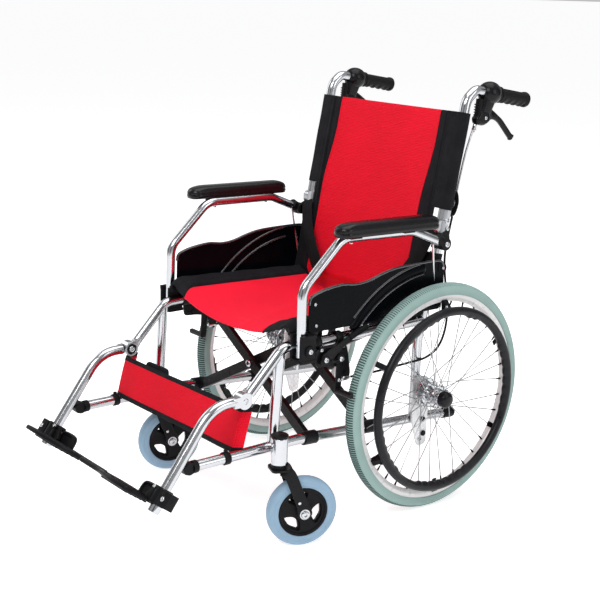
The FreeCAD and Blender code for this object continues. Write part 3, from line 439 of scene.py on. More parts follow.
def round_corners(points, radius, steps=5):
    """An outline of 2D points with each corner rounded."""
    out = []
    count = len(points)
    for i in range(count):
        here = Vector(points[i][:2])
        size = points[i][2] if len(points[i]) > 2 else radius
        before = Vector(points[i - 1][:2]) - here
        after = Vector(points[(i + 1) % count][:2]) - here
        reach = min(size, before.length * 0.48, after.length * 0.48)
        if reach < 0.05:
            out.append(tuple(here))
            continue
        a = here + before.normalized() * reach
        b = here + after.normalized() * reach
        for k in range(steps + 1):
            t = k / steps
            out.append(tuple((1 - t) ** 2 * a + 2 * t * (1 - t) * here + t * t * b))
    return out


def prism(shape, outline, place, thick, slot=0, holes=()):
    """A plate from a 2D outline with holes; place maps (a, b, depth) to a point."""
    bm = bmesh.new()
    edges = []
    for ring in [outline] + list(holes):
        verts = [bm.verts.new((p[0], p[1], 0)) for p in ring]
        for i, v in enumerate(verts):
            edges.append(bm.edges.new((v, verts[(i + 1) % len(verts)])))
    if holes:
        bmesh.ops.triangle_fill(bm, use_beauty=True, use_dissolve=False, edges=edges)
    else:
        bm.faces.new(bm.verts[:])
    grown = bmesh.ops.extrude_face_region(bm, geom=bm.faces[:])
    for element in grown["geom"]:
        if isinstance(element, bmesh.types.BMVert):
            element.co.z = thick
    bm.verts.index_update()
    verts = [place(v.co.x, v.co.y, v.co.z) for v in bm.verts]
    faces = [[v.index for v in f.verts] for f in bm.faces]
    bm.free()
    return shape.add(verts, faces, slot)


def side_plate(shape, outline, x, thick, slot=0, holes=()):
    """A plate in the (y, z) plane from x outward."""
    return prism(shape, outline, lambda a, b, c: Vector((x + c, a, b)), thick, slot, holes)


def bolt(shape, centre, axis, radius, height, slot=0):
    """A domed bolt head with a round socket."""
    lathe(shape, centre, axis, [(0, 0), (0, radius), (height * 0.55, radius),
        (height * 0.85, radius * 0.88), (height, radius * 0.62), (height, radius * 0.45),
        (height * 0.4, radius * 0.42), (height * 0.4, 0)], slot, 18)


def nut(shape, centre, axis, radius, height, slot=0):
    """A hexagon nut with a washer under it."""
    lathe(shape, centre, axis, [(0, 0), (0, radius * 1.35), (height * 0.2, radius * 1.35),
        (height * 0.2, 0)], slot, 20)
    lathe(shape, Vector(centre) + Vector(axis).normalized() * height * 0.2, axis,
        [(0, 0), (0, radius), (height * 0.7, radius), (height * 0.8, radius * 0.8),
        (height * 0.8, 0)], slot, 6)


def put(obj, body, node=None):
    """Rides a piece on its body and hides the CAD node it stands for."""
    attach(obj, body)
    if node:
        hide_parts(node)
    return obj


def pairs(*rows):
    """Makes each row's piece for both sides: maker, piece, body, node it stands for, finish (not
    used).
    """
    made = []
    for hand, sign in SIDES:
        for maker, piece, body, node, slot in rows:
            made.append(put(maker(piece + "_" + hand, sign), body + "_" + hand, node
                and node + "_" + hand))
    return made


# ------------------------------------------------------------------ drive wheels

WHEEL_Z = 254.0
WHEEL_X = 273.0
TYRE_RIBS = 290
RIB_DEPTH = 1.5
TYRE_MIDDLE = 238                    # the radius at the middle of the round section
SPOKES = 36


def tyre(name, sign):
    """A solid tyre: ribbed shoulders, a smoother crown and a stepped outer sidewall; the groove
    faces carry painted shade.
    """
    shape = Shape(TYRE, GROOVE_PAINTED_SHADE)
    section = [(-15.2, 229.5), (-16.0, 233), (-16.0, TYRE_MIDDLE), (-15.2, 243)]
    for k in range(17):
        angle = radians(-62 + 124 * k / 16)
        section.append((16 * sin(angle), TYRE_MIDDLE + 16 * cos(angle)))
    section += [(15.0, 243.5), (16.0, 242.5), (16.0, TYRE_MIDDLE), (16.0, 233), (15.2, 229.5)]
    per_rib = 4
    steps = TYRE_RIBS * per_rib
    verts = []
    for step in range(steps):
        angle = 2 * pi * step / steps
        cut = (0, 0, 1, 1)[step % per_rib]
        for a, r in section:
            lean = degrees(atan2(a, r - TYRE_MIDDLE)) if r > TYRE_MIDDLE else 90
            push = cut * (RIB_DEPTH if -70 < lean < 48 else 0.0)
            size = hypot(a, r - TYRE_MIDDLE) or 1
            a2 = a - push * a / size
            r2 = r - push * (r - TYRE_MIDDLE) / size
            verts.append((WHEEL_X + a2, r2 * cos(angle), WHEEL_Z + r2 * sin(angle)))
    faces = grid(steps, len(section), True, True)
    shape.add(verts, faces)
    ribbed = [k for k, (a, r) in enumerate(section[:-1]) if r > TYRE_MIDDLE
        and -70 < degrees(atan2(a, r - TYRE_MIDDLE)) < 44]
    # the faces inside the rib cuts take the shaded rubber: painted shade in the grooves
    shape.slots = [1 if f[0] // len(section) % per_rib in (2, 3) and f[0] % len(section) in ribbed
        else 0 for f in faces]
    return shape.mirrored(sign).make(name, angle=48)


def wheel_rim(name, sign):
    """An alloy rim with rolled lips, and crossed spokes with nipples."""
    shape = Shape(RIM, SPOKE, BLACK_PLASTIC)
    profile = [(-13, 229), (-13.6, 231.2), (-12.4, 232), (-11.4, 230.4), (-11.2, 227.5),
        (-9.5, 225), (9.5, 225), (11.2, 227.5), (11.4, 230.4), (12.4, 232), (13.6, 231.2),
        (13, 229), (12.6, 224), (11.2, 219), (8.2, 215.2), (4, 213.4), (-4, 213.4), (-8.2, 215.2),
        (-11.2, 219), (-12.6, 224)]
    lathe(shape, (WHEEL_X, 0, WHEEL_Z), X, profile, 0, 160)
    # where a spoke's head sits across the hub, by flange and by the flange's face
    heads = {(0, 0): -18.35, (0, 1): -26.6, (1, 0): 10.35, (1, 1): 18.6}
    for index in range(SPOKES):
        flange = index % 2
        face = 1 if index % 4 < 2 else 0
        rim_angle = 2 * pi * index / SPOKES
        hub_angle = rim_angle + radians(62 if face else -62)
        nipple = 1.2 if flange == face else -1.2
        start = Vector((WHEEL_X + heads[flange, face], 24 * cos(hub_angle),
            WHEEL_Z + 24 * sin(hub_angle)))
        end = Vector((WHEEL_X + nipple, 214 * cos(rim_angle), WHEEL_Z + 214 * sin(rim_angle)))
        along = (end - start).normalized()
        rod(shape, start, end, 0.95, 1, 8, 0.2)
        rod(shape, end - along * 13, end, 1.55, 2, 8, 0.4, tip=2.3)
        lathe(shape, start, X * (1 if heads[flange, face] > -20 and flange else -1),
            [(-1.2, 0), (-1.2, 1.8), (0.4, 2.1), (1.3, 1.2), (1.5, 0)], 1, 8)
    return shape.mirrored(sign).make(name)


def wheel_hub(name, sign):
    """A chromed hub shell, two drilled flanges, bearing covers and a domed cap."""
    shape = Shape(CHROME, GLOSS_BLACK)
    centre = Vector((WHEEL_X, 0, WHEEL_Z))
    barrel = [(-38, 6.2), (-38, 11), (-36.5, 12.5), (-31, 13), (-30, 16.2), (-25, 17), (-19, 17),
        (-17, 14.2), (-12, 12.8), (4, 12.8), (9, 14.2), (11, 17), (17, 17), (19, 18.4), (24, 18.4),
        (25.6, 17), (26, 13), (26, 6.2)]
    lathe(shape, centre, X, barrel, 0, 40)
    for x, radius, holes, hole in ((-24.5, 34, 9, 4.6), (11.5, 27, 9, 2.6)):
        cuts = [circle(hole, 12, (cos(a) * (radius - hole - 4.5), sin(a) * (radius - hole - 4.5)))
            for a in (2 * pi * (i + 0.5) / holes for i in range(holes))]
        cuts.append(circle(13, 24))
        side_plate(shape, [(p[0], p[1] + WHEEL_Z) for p in circle(radius, 48)], WHEEL_X + x, 3.6,
            0, [[(p[0], p[1] + WHEEL_Z) for p in cut] for cut in cuts])
    cap = [(24.5, 0), (24.5, 17.6), (27, 18.2), (38, 17.4), (41, 15.6), (43, 12), (44, 6),
        (44.3, 0)]
    lathe(shape, centre, X, cap, 1, 40)
    return shape.mirrored(sign).make(name, angle=35, bevel=0.4)


def handrim(name, sign):
    """A push ring with runs of finger bumps along its inner side, on angular brackets."""
    shape = Shape(RIM_GRIP, BLACK_PLASTIC, CHROME)
    ring = Vector((306, 0, WHEEL_Z))
    steps = 720
    sides = 18
    tube = 9.5
    verts = []
    # the stretches that have bumps, in degrees round the ring
    runs = ((-115, -62), (-20, 35), (62, 78), (98, 150), (186, 228))
    for step in range(steps):
        turn = 360.0 * step / steps
        angle = radians(turn)
        bump = 0.0
        for low, high in runs:
            for shift in (-360, 0, 360):
                place = turn + shift
                if low <= place <= high:
                    ends = min(place - low, high - place) / 5
                    bump = max(bump, 4.4 * (0.3 + 0.7 * abs(sin(radians(place - low)
                        * 360 / 13.0))) * smooth_step(ends))
        for k in range(sides):
            a = 2 * pi * k / sides
            inward = max(0.0, -cos(a))
            r = 198 + cos(a) * tube - bump * inward ** 2
            x = sin(a) * tube
            verts.append((ring.x + x, r * cos(angle), ring.z + r * sin(angle)))
    shape.add(verts, grid(steps, sides, True, True))
    for index in range(6):
        angle = 2 * pi * (index + 0.5) / 6
        out = Vector((0, cos(angle), sin(angle)))
        turned = Vector((0, -sin(angle), cos(angle)))
        centre = Vector((0, 0, WHEEL_Z))

        def place(a, b, c, out=out, turned=turned, centre=centre):
            return centre + out * b + X * a + turned * (c - 6)

        outline = round_corners([(281, 213.6), (281, 219), (289, 221), (299, 208.5), (309, 204),
            (306, 196), (296, 198), (291, 203), (285.5, 213.6)], 2.5)
        prism(shape, outline, place, 12, 1)
        prism(shape, round_corners([(283, 213), (284.5, 213), (287, 190), (285.5, 190)], 0.5),
            place, 12, 1)
        bolt(shape, centre + out * 208 + X * 300 + turned * 6, turned, 3.6, 3, 2)
    return shape.mirrored(sign).make(name, angle=50)


pairs((tyre, "tyre_tread", "drive_wheel", "tyre", "grey_tyre"), (wheel_rim, "rim_spokes",
    "drive_wheel", "wheel_rim", "rim_grey"), (wheel_hub, "hub_shell", "drive_wheel", "wheel_hub",
    "chrome_tube"), (handrim, "push_ring", "drive_wheel", "handrim", "gloss_black"))

# ------------------------------------------------------------------ casters

CASTER = Vector((247, -410, 0))         # the left caster's swivel axis
WHEEL_CENTRE = (0, 50, 75)              # of the caster's own wheel, from that axis


def caster_place(sign):
    turn = Matrix.Rotation(radians(-17.0 - 3.0 * sign), 3, "Z")
    return lambda p: turn @ Vector(p) + Vector((sign * CASTER.x, CASTER.y, 0))


def caster_tyre(name, sign):
    """A rounded solid tyre with a stepped sidewall."""
    shape = Shape(CASTER_RUBBER)
    half = [(0, 75.0), (4, 74.8), (8, 73.6), (11, 71.4), (12.9, 68.2), (13.6, 65.4), (13.2, 63.6),
        (14.0, 62.6), (13.9, 58), (13.0, 56.2), (12.6, 53.4), (10.5, 52.4)]
    section = half + [(-a, r) for a, r in reversed(half[1:])]
    lathe(shape, WHEEL_CENTRE, X, section, 0, 120)
    return shape.placed(caster_place(sign)).make(name)


def caster_wheel(name, sign):
    """A moulded centre with three rounded windows that have stepped rims."""
    shape = Shape(BLACK_PLASTIC, CHROME)
    windows = []
    inner = []
    for k in range(3):
        middle = radians(90 + 120 * k + 18)
        for ring_list, grow in ((windows, 0.0), (inner, 3.2)):
            corners = []
            for radius, spread in ((44 - grow, 36 - grow), (19 + grow, 26 - grow * 3.2)):
                signs = (-1, 0, 1) if radius > 30 else (1, -1)
                for side in signs:
                    angle = middle + radians(spread) * side
                    corners.append((radius * cos(angle), radius * sin(angle)))
            ring_list.append(round_corners(corners, 9 - grow, 6))
    shift = lambda ring: [(a + WHEEL_CENTRE[1], b + WHEEL_CENTRE[2]) for a, b in ring]
    outer = shift(circle(48.5, 72))
    bore = shift(circle(7, 24))
    side_plate(shape, outer, -9.5, 19, 0, [shift(w) for w in windows] + [bore])
    side_plate(shape, outer, -4, 8, 0, [shift(w) for w in inner] + [bore])
    lathe(shape, WHEEL_CENTRE, X, [(-12, 48), (-12.4, 52.6), (12.4, 52.6), (12, 48), (10.5, 46.6),
        (-10.5, 46.6)], 0, 96)
    lathe(shape, WHEEL_CENTRE, X, [(-17, 5.2), (-17, 11), (-15.5, 13), (-11, 15), (11, 15),
        (15.5, 13), (17, 11), (17, 5.2)], 0, 36)
    return shape.placed(caster_place(sign)).make(name, angle=35, bevel=0.8)


def caster_fork(name, sign):
    """A pressed steel fork: folded crown, two bent legs, axle bolt and stem."""
    shape = Shape(BLACK_STEEL, CHROME, BLACK_PLASTIC)
    for side in (-1, 1):
        path = [Vector((side * 4, 6, 174)), Vector((side * 13, 8, 173.6)),
            Vector((side * 19.6, 12, 169)), Vector((side * 21, 20, 158)),
            Vector((side * 21, 36, 118)), Vector((side * 21, 49, 84)),
            Vector((side * 21, 55.5, 63))]
        line = smooth_path(path, 6)

        def section(share):
            wide = mix(34, 25, smooth_step(share / 0.45))
            wide = mix(wide, 30, smooth_step((share - 0.7) / 0.25))
            if share > 0.9:
                wide *= sqrt(max(0.12, 1 - ((share - 0.9) / 0.1) ** 2))
            return rounded_box(wide, 4.2, 1.6, 3)

        sweep(shape, line, section, up=X)
        bolt(shape, (side * 23, 50, 75), X * side, 8.5, 6, 1)
        lathe(shape, (side * 23, 50, 75), X * side, [(0, 0), (0, 11), (1.4, 11), (1.6, 9),
            (1.6, 0)], 1, 24)
        nut(shape, (side * 11, -1, 176), Z, 3.2, 4, 1)
        rod(shape, (side * 22.6, 38, 101), (side * 25, 38, 101), 3.4, 1)
    prism(shape, round_corners([(-23, -20), (23, -20), (23, 22), (-23, 22)], 12), lambda a, b,
        c: Vector((a, b, 170.5 + c)), 4.5, 0)
    lathe(shape, (0, 0, 174), Z, [(0, 17), (5.5, 16.5), (6, 0), (0, 0)], 0, 32)
    rod(shape, (0, 0, 172), (0, 0, 235), 7.9, 1)
    rod(shape, (-27, 50, 75), (27, 50, 75), 5, 1)
    return shape.placed(caster_place(sign)).make(name, bevel=0.5)


pairs((caster_tyre, "caster_tread", "caster_roller", "caster_tyre", "caster_rubber"),
    (caster_wheel, "caster_centre", "caster_roller", "caster_wheel", "gloss_black"),
    (caster_fork, "fork", "caster", "caster_fork", "black_steel"))

# ------------------------------------------------------------------ push handles and brakes

LEAN = Vector((0, 0.1944, 0.9809))
HINGE = Vector((222, 48, 632))


def push_grip(name, sign):
    """A moulded grip: flattened on top, four finger grooves below, a rounded end cap."""
    shape = Shape(BLACK_RUBBER)
    start = Vector((222, 196, 897.5))
    end = Vector((221.3, 290, 882.3))
    along = (end - start).normalized()
    length = (end - start).length
    profile = [(0, TUBE), (0, 15), (1.2, 16.6), (4.5, 16.6), (5.5, 15.2)]
    profile += [(5.5 + 78 * k / 40, 14.6) for k in range(1, 41)]
    profile += [(84.6, 15.0), (86, 15.6), (91, 16.0), (93.6, 15.2), (length, 13.4),
        (length + 1.6, 10.5), (length + 2.4, 6), (length + 2.6, 0)]

    def warp(a, r, angle):
        if r > 12:
            r *= 1.08
        if 5.6 < a < 84 and r > 12:
            down = max(0.0, -sin(angle))
            groove = 0.5 - 0.5 * cos((a - 6) / 78 * 4 * 2 * pi)
            r += -3.9 * (1 - groove) * down ** 2 + 1.5 * down ** 2
            r -= 0.9 * max(0.0, sin(angle)) ** 4
            r += 0.22 * cos(angle * 24) * (1 - down)
        return r

    lathe(shape, start, along, profile, 0, 96, warp=warp)
    return shape.mirrored(sign).make(name, angle=50)


def lever_clamp(name, sign):
    """A dome-topped clamp on the handle with a neck, a ribbed block and a cable adjuster."""
    shape = Shape(GLOSS_BLACK, CHROME, BLACK_PLASTIC)
    start, end = Vector((222, 158, 903.4)), Vector((222, 196.5, 897.4))
    along = (end - start).normalized()
    length = (end - start).length
    dome = [(20 - 25 * cos(radians(t)), 7 + 18 * sin(radians(t))) for t in range(16, 165, 8)]
    lathe(shape, start - along * 7, along, [(-4.4, TUBE)] + dome + [(44.4, TUBE)], 0, 48)
    lathe(shape, start, along, [(length - 7, TUBE), (length - 7, 16.4), (length - 6, 17.2),
        (length - 1.4, 17.2), (length - 0.4, 16.2), (length - 0.4, TUBE)], 0, 48)
    neck = [Vector((222, 166, 896)), Vector((222, 160, 878)), Vector((222, 155, 862)),
        Vector((222, 150, 850))]

    def section(share):
        return rounded_box(mix(27, 18.4, smooth_step(share)), mix(36, 30, share), 7, 4)

    sweep(shape, smooth_path(neck, 5), section, up=Y)
    for side in (-1, 1):
        lathe(shape, (222 + side * 9.2, 152, 849), X * side, [(-4, 0), (-4, 13), (0, 13),
            (1.4, 12), (1.8, 10), (1.8, 5), (0.4, 4.6), (0.4, 0)], 0, 32)
        bolt(shape, (222 + side * 9.6, 152, 849), X * side, 4.2, 3.2, 1)
    for k in range(6):
        centre = Vector((222, 134.5 - k * 0.2, 876 - k * 5.6))
        sweep(shape, [centre + Vector((-7.4, 0, 2)), centre + Vector((7.4, 0, 2))],
            rounded_box(6, 2.6, 1.1, 3), 2, up=Z)
    sweep(shape, [(222, 142, 890), (222, 139, 860), (222, 136, 836)], rounded_box(15, 16, 5, 3), 2,
        up=Y)
    rod(shape, (222, 130, 836), (222, 127.5, 825), 4.4, 1, 12)
    lathe(shape, (222, 127.9, 827), (0, -0.2, -1), [(0, 0), (0, 5.2), (4, 5.2), (4.6, 3), (9, 2.8),
        (9, 0)], 1, 12)
    return shape.mirrored(sign).make(name, bevel=0.5)


def hand_lever(name, sign):
    """The brake lever: a teardrop head, a slim curved blade and a small flared end."""
    shape = Shape(GLOSS_BLACK, CHROME)
    line = smooth_path([(222, 127, 842), (222, 142, 847), (222, 158, 853), (222, 178, 854),
        (222, 204, 842), (222, 224, 824), (222, 240, 808), (222, 251, 798.5)], 8)

    def section(share):
        high = mix(17, 35, smooth_step(share / 0.2)) if share < 0.2 else 35
        high = mix(high, 12.5, smooth_step((share - 0.26) / 0.3))
        high = mix(high, 15.5, smooth_step((share - 0.9) / 0.08))
        wide = mix(21.4, 10.0, smooth_step((share - 0.2) / 0.3))
        wide = mix(wide, 14.0, smooth_step((share - 0.9) / 0.08))
        end = min(1.0, (1 - share) / 0.03 * 0.6 + 0.4) * min(1.0, share / 0.04 * 0.4 + 0.6)
        return rounded_box(wide * end, high * end, min(wide, high) * 0.36 * end, 4)

    sweep(shape, line, section, up=X.cross(line[1] - line[0]).normalized())
    return shape.mirrored(sign).make(name, angle=55)


UPPER_CABLE = [(222, 128, 832), (222, 110, 790), (221, 96, 735), (219, 80, 645)]
LOWER_CABLE = [(219, 79, 637), (218, 70, 595), (216, 64, 545), (216, 72, 490), (216, 84, 440),
    (216, 84, 385), (218, 62, 340), (224, 14, 324), (238, -50, 330), (243, -110, 330),
    (243, -170, 329), (243, -222, 331)]


def cable(name, points, sign, material):
    """A brake cable: one smooth line through its route."""
    data = bpy.data.curves.new(name, "CURVE")
    data.dimensions = "3D"
    spline = data.splines.new("NURBS")
    spline.points.add(len(points) - 1)
    for point, (x, y, z) in zip(spline.points, points):
        point.co = (sign * x / 1000, (y + AXLE_Y) / 1000, z / 1000, 1)
    spline.order_u = 3
    spline.use_endpoint_u = True
    spline.resolution_u = 10
    data.bevel_depth = 0.0025
    data.bevel_resolution = 4
    data.use_fill_caps = True
    data.materials.append(material)
    obj = bpy.data.objects.new(name, data)
    scene.collection.objects.link(obj)
    return obj


def measured(obj):
    """The length of a curve's own line, in metres."""
    data = obj.data.copy()
    data.bevel_depth = 0
    probe = bpy.data.objects.new("probe", data)
    mesh = bpy.data.meshes.new_from_object(probe)
    length = sum((mesh.vertices[e.vertices[0]].co - mesh.vertices[e.vertices[1]].co).length
        for e in mesh.edges)
    bpy.data.objects.remove(probe)
    bpy.data.meshes.remove(mesh)
    bpy.data.curves.remove(data)
    return length


def upper_hinge(name, sign):
    """The steel sleeve above the fold, with the release loop of webbing behind it."""
    shape = Shape(SLEEVE, WEBBING)
    lathe(shape, HINGE + LEAN * 0.8, LEAN, [(0, TUBE), (0, 13.8), (22.6, 13.8), (23.2, 13.2),
        (23.2, TUBE)], 0, 36)
    loop = smooth_path([(222, 68, 697), (222, 80, 690), (222, 84, 668), (222, 76, 646),
        (222, 66, 640)], 6)
    sweep(shape, loop, rounded_box(2.4, 18, 1.1, 3), 1, up=X)
    return shape.mirrored(sign).make(name)


def lower_hinge(name, sign):
    """The steel sleeve below the fold with its lug in front and the pivot's bolt."""
    shape = Shape(SLEEVE, CHROME)
    lower = Vector((7, 52, 260)).normalized()
    lathe(shape, HINGE - lower * 30, lower, [(0, TUBE), (0, 13.2), (0.6, 13.8), (29.6, 13.8),
        (29.6, TUBE)], 0, 36)
    lug = round_corners([(30, 604), (24, 612), (24, 628), (31, 634), (44, 632), (44, 604)], 4)
    side_plate(shape, lug, 214, 16)
    bolt(shape, (236, 48, 616), X, 5, 3, 1)
    return shape.mirrored(sign).make(name, bevel=0.4)


pairs((push_grip, "grip", "backrest", "push_grip", "black_rubber"),
    (lever_clamp, "clamp", "backrest", "lever_clamp", "gloss_black"),
    (upper_hinge, "fold_sleeve_upper", "backrest", None, "chrome_tube"),
    (lower_hinge, "fold_sleeve_lower", "frame", None, "chrome_tube"),
    (hand_lever, "brake_lever", "hand_lever_arm", "hand_lever", "gloss_black"))
for hand, sign in SIDES:
    for part, points, body, sheath in (("upper_", UPPER_CABLE, "backrest_", CABLE_STEEL),
            ("lower_", LOWER_CABLE, "frame_", BLACK_RUBBER)):
        line = put(cable("cable_" + part + hand, points, sign, sheath), body + hand,
            "brake_cable_" + part + hand)
        x, y, z = points[0]
        measured(line)

# ------------------------------------------------------------------ armrests


PAD_LENGTH = 277.0
PAD_SIDE = 262
PAD_FRONT = -290
PAD_FOOT = 638


def armpad(name, sign):
    """A moulded pad: crowned top, rounded nose and heel, a channel along each side."""
    shape = Shape(PAD_VINYL)
    tilt = radians(-1.2)
    length = PAD_LENGTH
    rows = 60
    columns = 44
    verts = []
    for i in range(rows + 1):
        share = i / rows
        y = length * (0.5 - 0.5 * cos(pi * share))
        nose = min(y, length - y)
        plan = sqrt(max(0.0, 1 - (1 - min(1.0, nose / 21)) ** 2))
        tall = sqrt(max(0.0, 1 - (1 - min(1.0, nose / (46 if y < nose + 1 else 34))) ** 2))
        low = sqrt(max(0.0, 1 - (1 - min(1.0, nose / 6)) ** 2))
        half = 22.4 * max(plan, 0.02)
        for k in range(columns):
            a = 2 * pi * k / columns
            c, s = cos(a), sin(a)
            x = copysign(abs(c) ** (0.62 if s > 0 else 0.4), c) * half
            z = abs(s) ** 0.9 * (6 * low + 15 * tall) if s > 0 else -abs(s) ** 0.6 * 9 * low
            channel = exp(-((z - 2.5) / 1.2) ** 2)
            x -= copysign(2.2, c) * channel * plan
            verts.append(Vector((PAD_SIDE + x, PAD_FRONT + y * cos(tilt),
                PAD_FOOT + y * sin(tilt) + 6.2 + z)))
    shape.add(verts, grid(rows + 1, columns, False, True) + [list(reversed(range(columns))),
        [rows * columns + i for i in range(columns)]])
    return shape.mirrored(sign).make(name, angle=60)


def armrest_fittings(name, sign):
    """Webs and bolts under the pad, and the collar and eye at the rear pivot."""
    shape = Shape(BLACK_PLASTIC, CHROME)
    for y in (-232, -84):
        top = 637.5 + (y - PAD_FRONT) * -0.021
        sweep(shape, [(248, y - 14, top - 5), (248, y + 14, top - 5.5)], rounded_box(22, 9, 3, 3),
            up=Z)
        bolt(shape, (240.5, y, 616.5 if y > -100 else 617), (0, 0, -1), 4, 3, 1)
    pivot = Vector((252, 24, 588))
    sweep(shape, smooth_path([(249.6, 4, 600.5), (250.3, 10, 596.2), (251, 17, 592)], 4),
        circle(12.6, 24), 0)
    lathe(shape, pivot + X * -9.6, X, [(0, 4.2), (0, 13), (1.2, 14), (17, 14), (18.6, 13),
        (18.8, 6), (18.8, 4.2)], 0, 40)
    bolt(shape, pivot + X * 9.2, X, 6.4, 3.4, 1)
    return shape.mirrored(sign).make(name, bevel=0.4)


def side_guard(name, sign):
    """A moulded guard: wavy rolled top, a raised arch over the wheel and two fine ridges; the
    rolled top and the ridges carry a painted highlight.
    """
    shape = Shape(GUARD_PLASTIC, CHROME, GUARD_EDGE_HIGHLIGHT)
    top = smooth_path([(0, a, b) for a, b in [(-337, 500), (-333, 514), (-318, 521), (-292, 527),
        (-250, 531), (-212, 527), (-178, 530), (-140, 540), (-100, 547), (-30, 549), (24, 548),
        (36, 540), (40, 526)]], 6)
    outline = [(-338, 442)] + [(p.y, p.z) for p in top] + [(42, 500), (32, 440)]
    side_plate(shape, outline, 237.9, 2.4)
    lift = [Vector((239.1, p.y, p.z)) for p in top]
    # the rolled top in the lighter, glossier plastic: painted highlight
    sweep(shape, lift, circle(3.1, 12), 2, up=X)

    def arc(radius, x, start=94, stop=143, steps=48):
        return [Vector((x, radius * cos(radians(mix(start, stop, k / steps))),
            WHEEL_Z + radius * sin(radians(mix(start, stop, k / steps)))))
            for k in range(steps + 1)]

    def arch(share):
        ends = sqrt(max(0.02, min(1.0, share / 0.03) * min(1.0, (1 - share) / 0.03)))
        high = 5.6 * ends
        return [(-10, -1), (-9, high * 0.35), (-6.5, high * 0.8), (-3, high), (3, high),
            (6.5, high * 0.8), (9, high * 0.35), (10, -1)]

    line = arc(283, 240.1, 93, 141.5)
    verts = []
    rows = len(line)
    for i, p in enumerate(line):
        out = (p - Vector((p.x, 0, WHEEL_Z))).normalized()
        for a, b in arch(i / (rows - 1)):
            verts.append(p + out * a + X * b)
    shape.add(verts, grid(rows, 8, False, True) + [list(reversed(range(8))),
        [(rows - 1) * 8 + i for i in range(8)]])
    # the ridge lines in the lighter, glossier plastic: painted highlight
    for radius, x, size in ((272.5, 244.6, 1.5), (297.5, 240.4, 1.3), (271, 237.6, 3.0),
            (294, 237.6, 3.0)):
        stop = 141 if radius < 280 else 137
        sweep(shape, arc(radius, x, 95, stop), circle(size, 10), 2, up=X)
    tab = round_corners([(22, 524), (22, 544), (44, 540), (48, 530), (44, 520)], 4)
    side_plate(shape, tab, 236.5, 5)
    bolt(shape, (241.5, 36, 531), X, 3.4, 2.4, 1)
    for y, z in ((-322, 500), (-318, 455)):
        bolt(shape, (240.3, y, z), X, 3.6, 2.4, 1)
    return shape.mirrored(sign).make(name, bevel=0.4)


pads = pairs((armpad, "pad", "armrest", "armpad", "gloss_black"))
pairs((armrest_fittings, "arm_fittings", "armrest", None, "black_plastic"),
    (side_guard, "guard", "armrest", "side_guard", "black_plastic"))

# ------------------------------------------------------------------ footplates

FOOT = Vector((216, -688, 141))
FOOT_UP = Vector((0, 0.595, 0.804))
FOOT_FORE = Vector((0, -0.804, 0.595))


def foot_point(sign):
    def place(p):
        x, y, z = p
        base = FOOT - X * x + FOOT_FORE * y + FOOT_UP * z
        return Vector((base.x * sign, base.y, base.z))
    return place


def footplate(name, sign):
    """A tapered plate: rolled rim, ribs below, non-slip ridges above and a heel lobe."""
    shape = Shape(BLACK_PLASTIC, CHROME)
    low, high = (20, 46) if sign > 0 else (-9, 16.5)
    outline = round_corners([(8, 24), (7, 60), (16, 76), (62, 79, 20), (104, 70, 24),
        (146, 50, 18), (166, high, 12), (231, high, 7), (231, low, 7), (160, low, 10),
        (146, -8, 14), (100, -12), (30, -14), (21, 2, 6), (21, 20, 4)], 6, 6)
    flat = lambda a, b, c: Vector((a, b, 8 + c))
    prism(shape, outline, flat, 7.5, 0)
    rim = [Vector((a, b, 12.6)) for a, b in outline]
    sweep(shape, rim, rounded_box(5, 9, 2.2, 3), 0, closed=True, up=Z)
    for k in range(9):
        x = 40 + k * 13.0
        top = 62 - max(0, x - 96) * 0.42
        sweep(shape, [(x, 2, 16.0), (x, top, 16.0)], rounded_box(4.5, 2.6, 1.1, 2), up=Z)
    for k in range(5):
        y = 4 + k * 13
        sweep(shape, [(30, y, 6.6), (140 - k * 4, y, 6.6)], rounded_box(3.0, 4.5, 0.8, 2), up=Z)
    lobe = smooth_path([(24, -9, 17), (26, -9, 34), (36, -9, 40), (64, -9, 40), (74, -9, 34),
        (76, -9, 17)], 6)
    sweep(shape, lobe, rounded_box(7, 11, 3, 3), up=Y)
    prism(shape, round_corners([(25, 12), (76, 12), (75, 34), (66, 40), (35, 40), (26, 34)], 5),
        lambda a, b, c: Vector((a, -10.5 + c, b)), 4, 0)
    rod(shape, (15, -3.6, 41), (15, 13.6, 41), 5, 0, 20)
    sweep(shape, [(17, 5, 38), (24, 5, 30), (32, 5, 15)], rounded_box(17, 8, 2, 3), up=Y)
    return shape.placed(foot_point(sign)).make(name, bevel=0.5)


def footplate_hub(name, sign):
    """The moulded block on the foot of the tube with its lobe, bracket and bolts."""
    shape = Shape(BLACK_PLASTIC, CHROME)
    outer = round_corners([(-38, -12), (-38, 17), (-14, 17), (-14, -12)], 7, 6)
    prism(shape, outer, lambda a, b, c: Vector((a, b, 13 + c)), 31, 0)
    collar = circle(17.5, 32)
    prism(shape, collar, lambda a, b, c: Vector((a, b, 12 + c)), 34, 0, holes=[circle(11.1, 28)])
    inner = round_corners([(10, -13), (10, 14), (19.5, 16), (19.5, -13)], 4, 5)
    prism(shape, inner, lambda a, b, c: Vector((a, b, 12 + c)), 20, 0)
    rod(shape, (15, -14, 41), (15, -5, 41), 5, 0, 20)
    rod(shape, (15, -12, 41), (15, 16, 41), 2.5, 1, 12)
    bolt(shape, (15, 16, 41), Y, 4, 2.6, 1)
    lathe(shape, (0, 0, -4), Z, [(0, 0), (0, 11.6), (2, 12.4), (16, 12.4), (16, 0)], 1, 28)
    bolt(shape, (-27, 17, 28), Y, 5, 3, 1)
    bolt(shape, (0, -12.0, 6), -Y, 3.6, 3, 1)
    return shape.placed(foot_point(sign)).make(name, bevel=0.7)


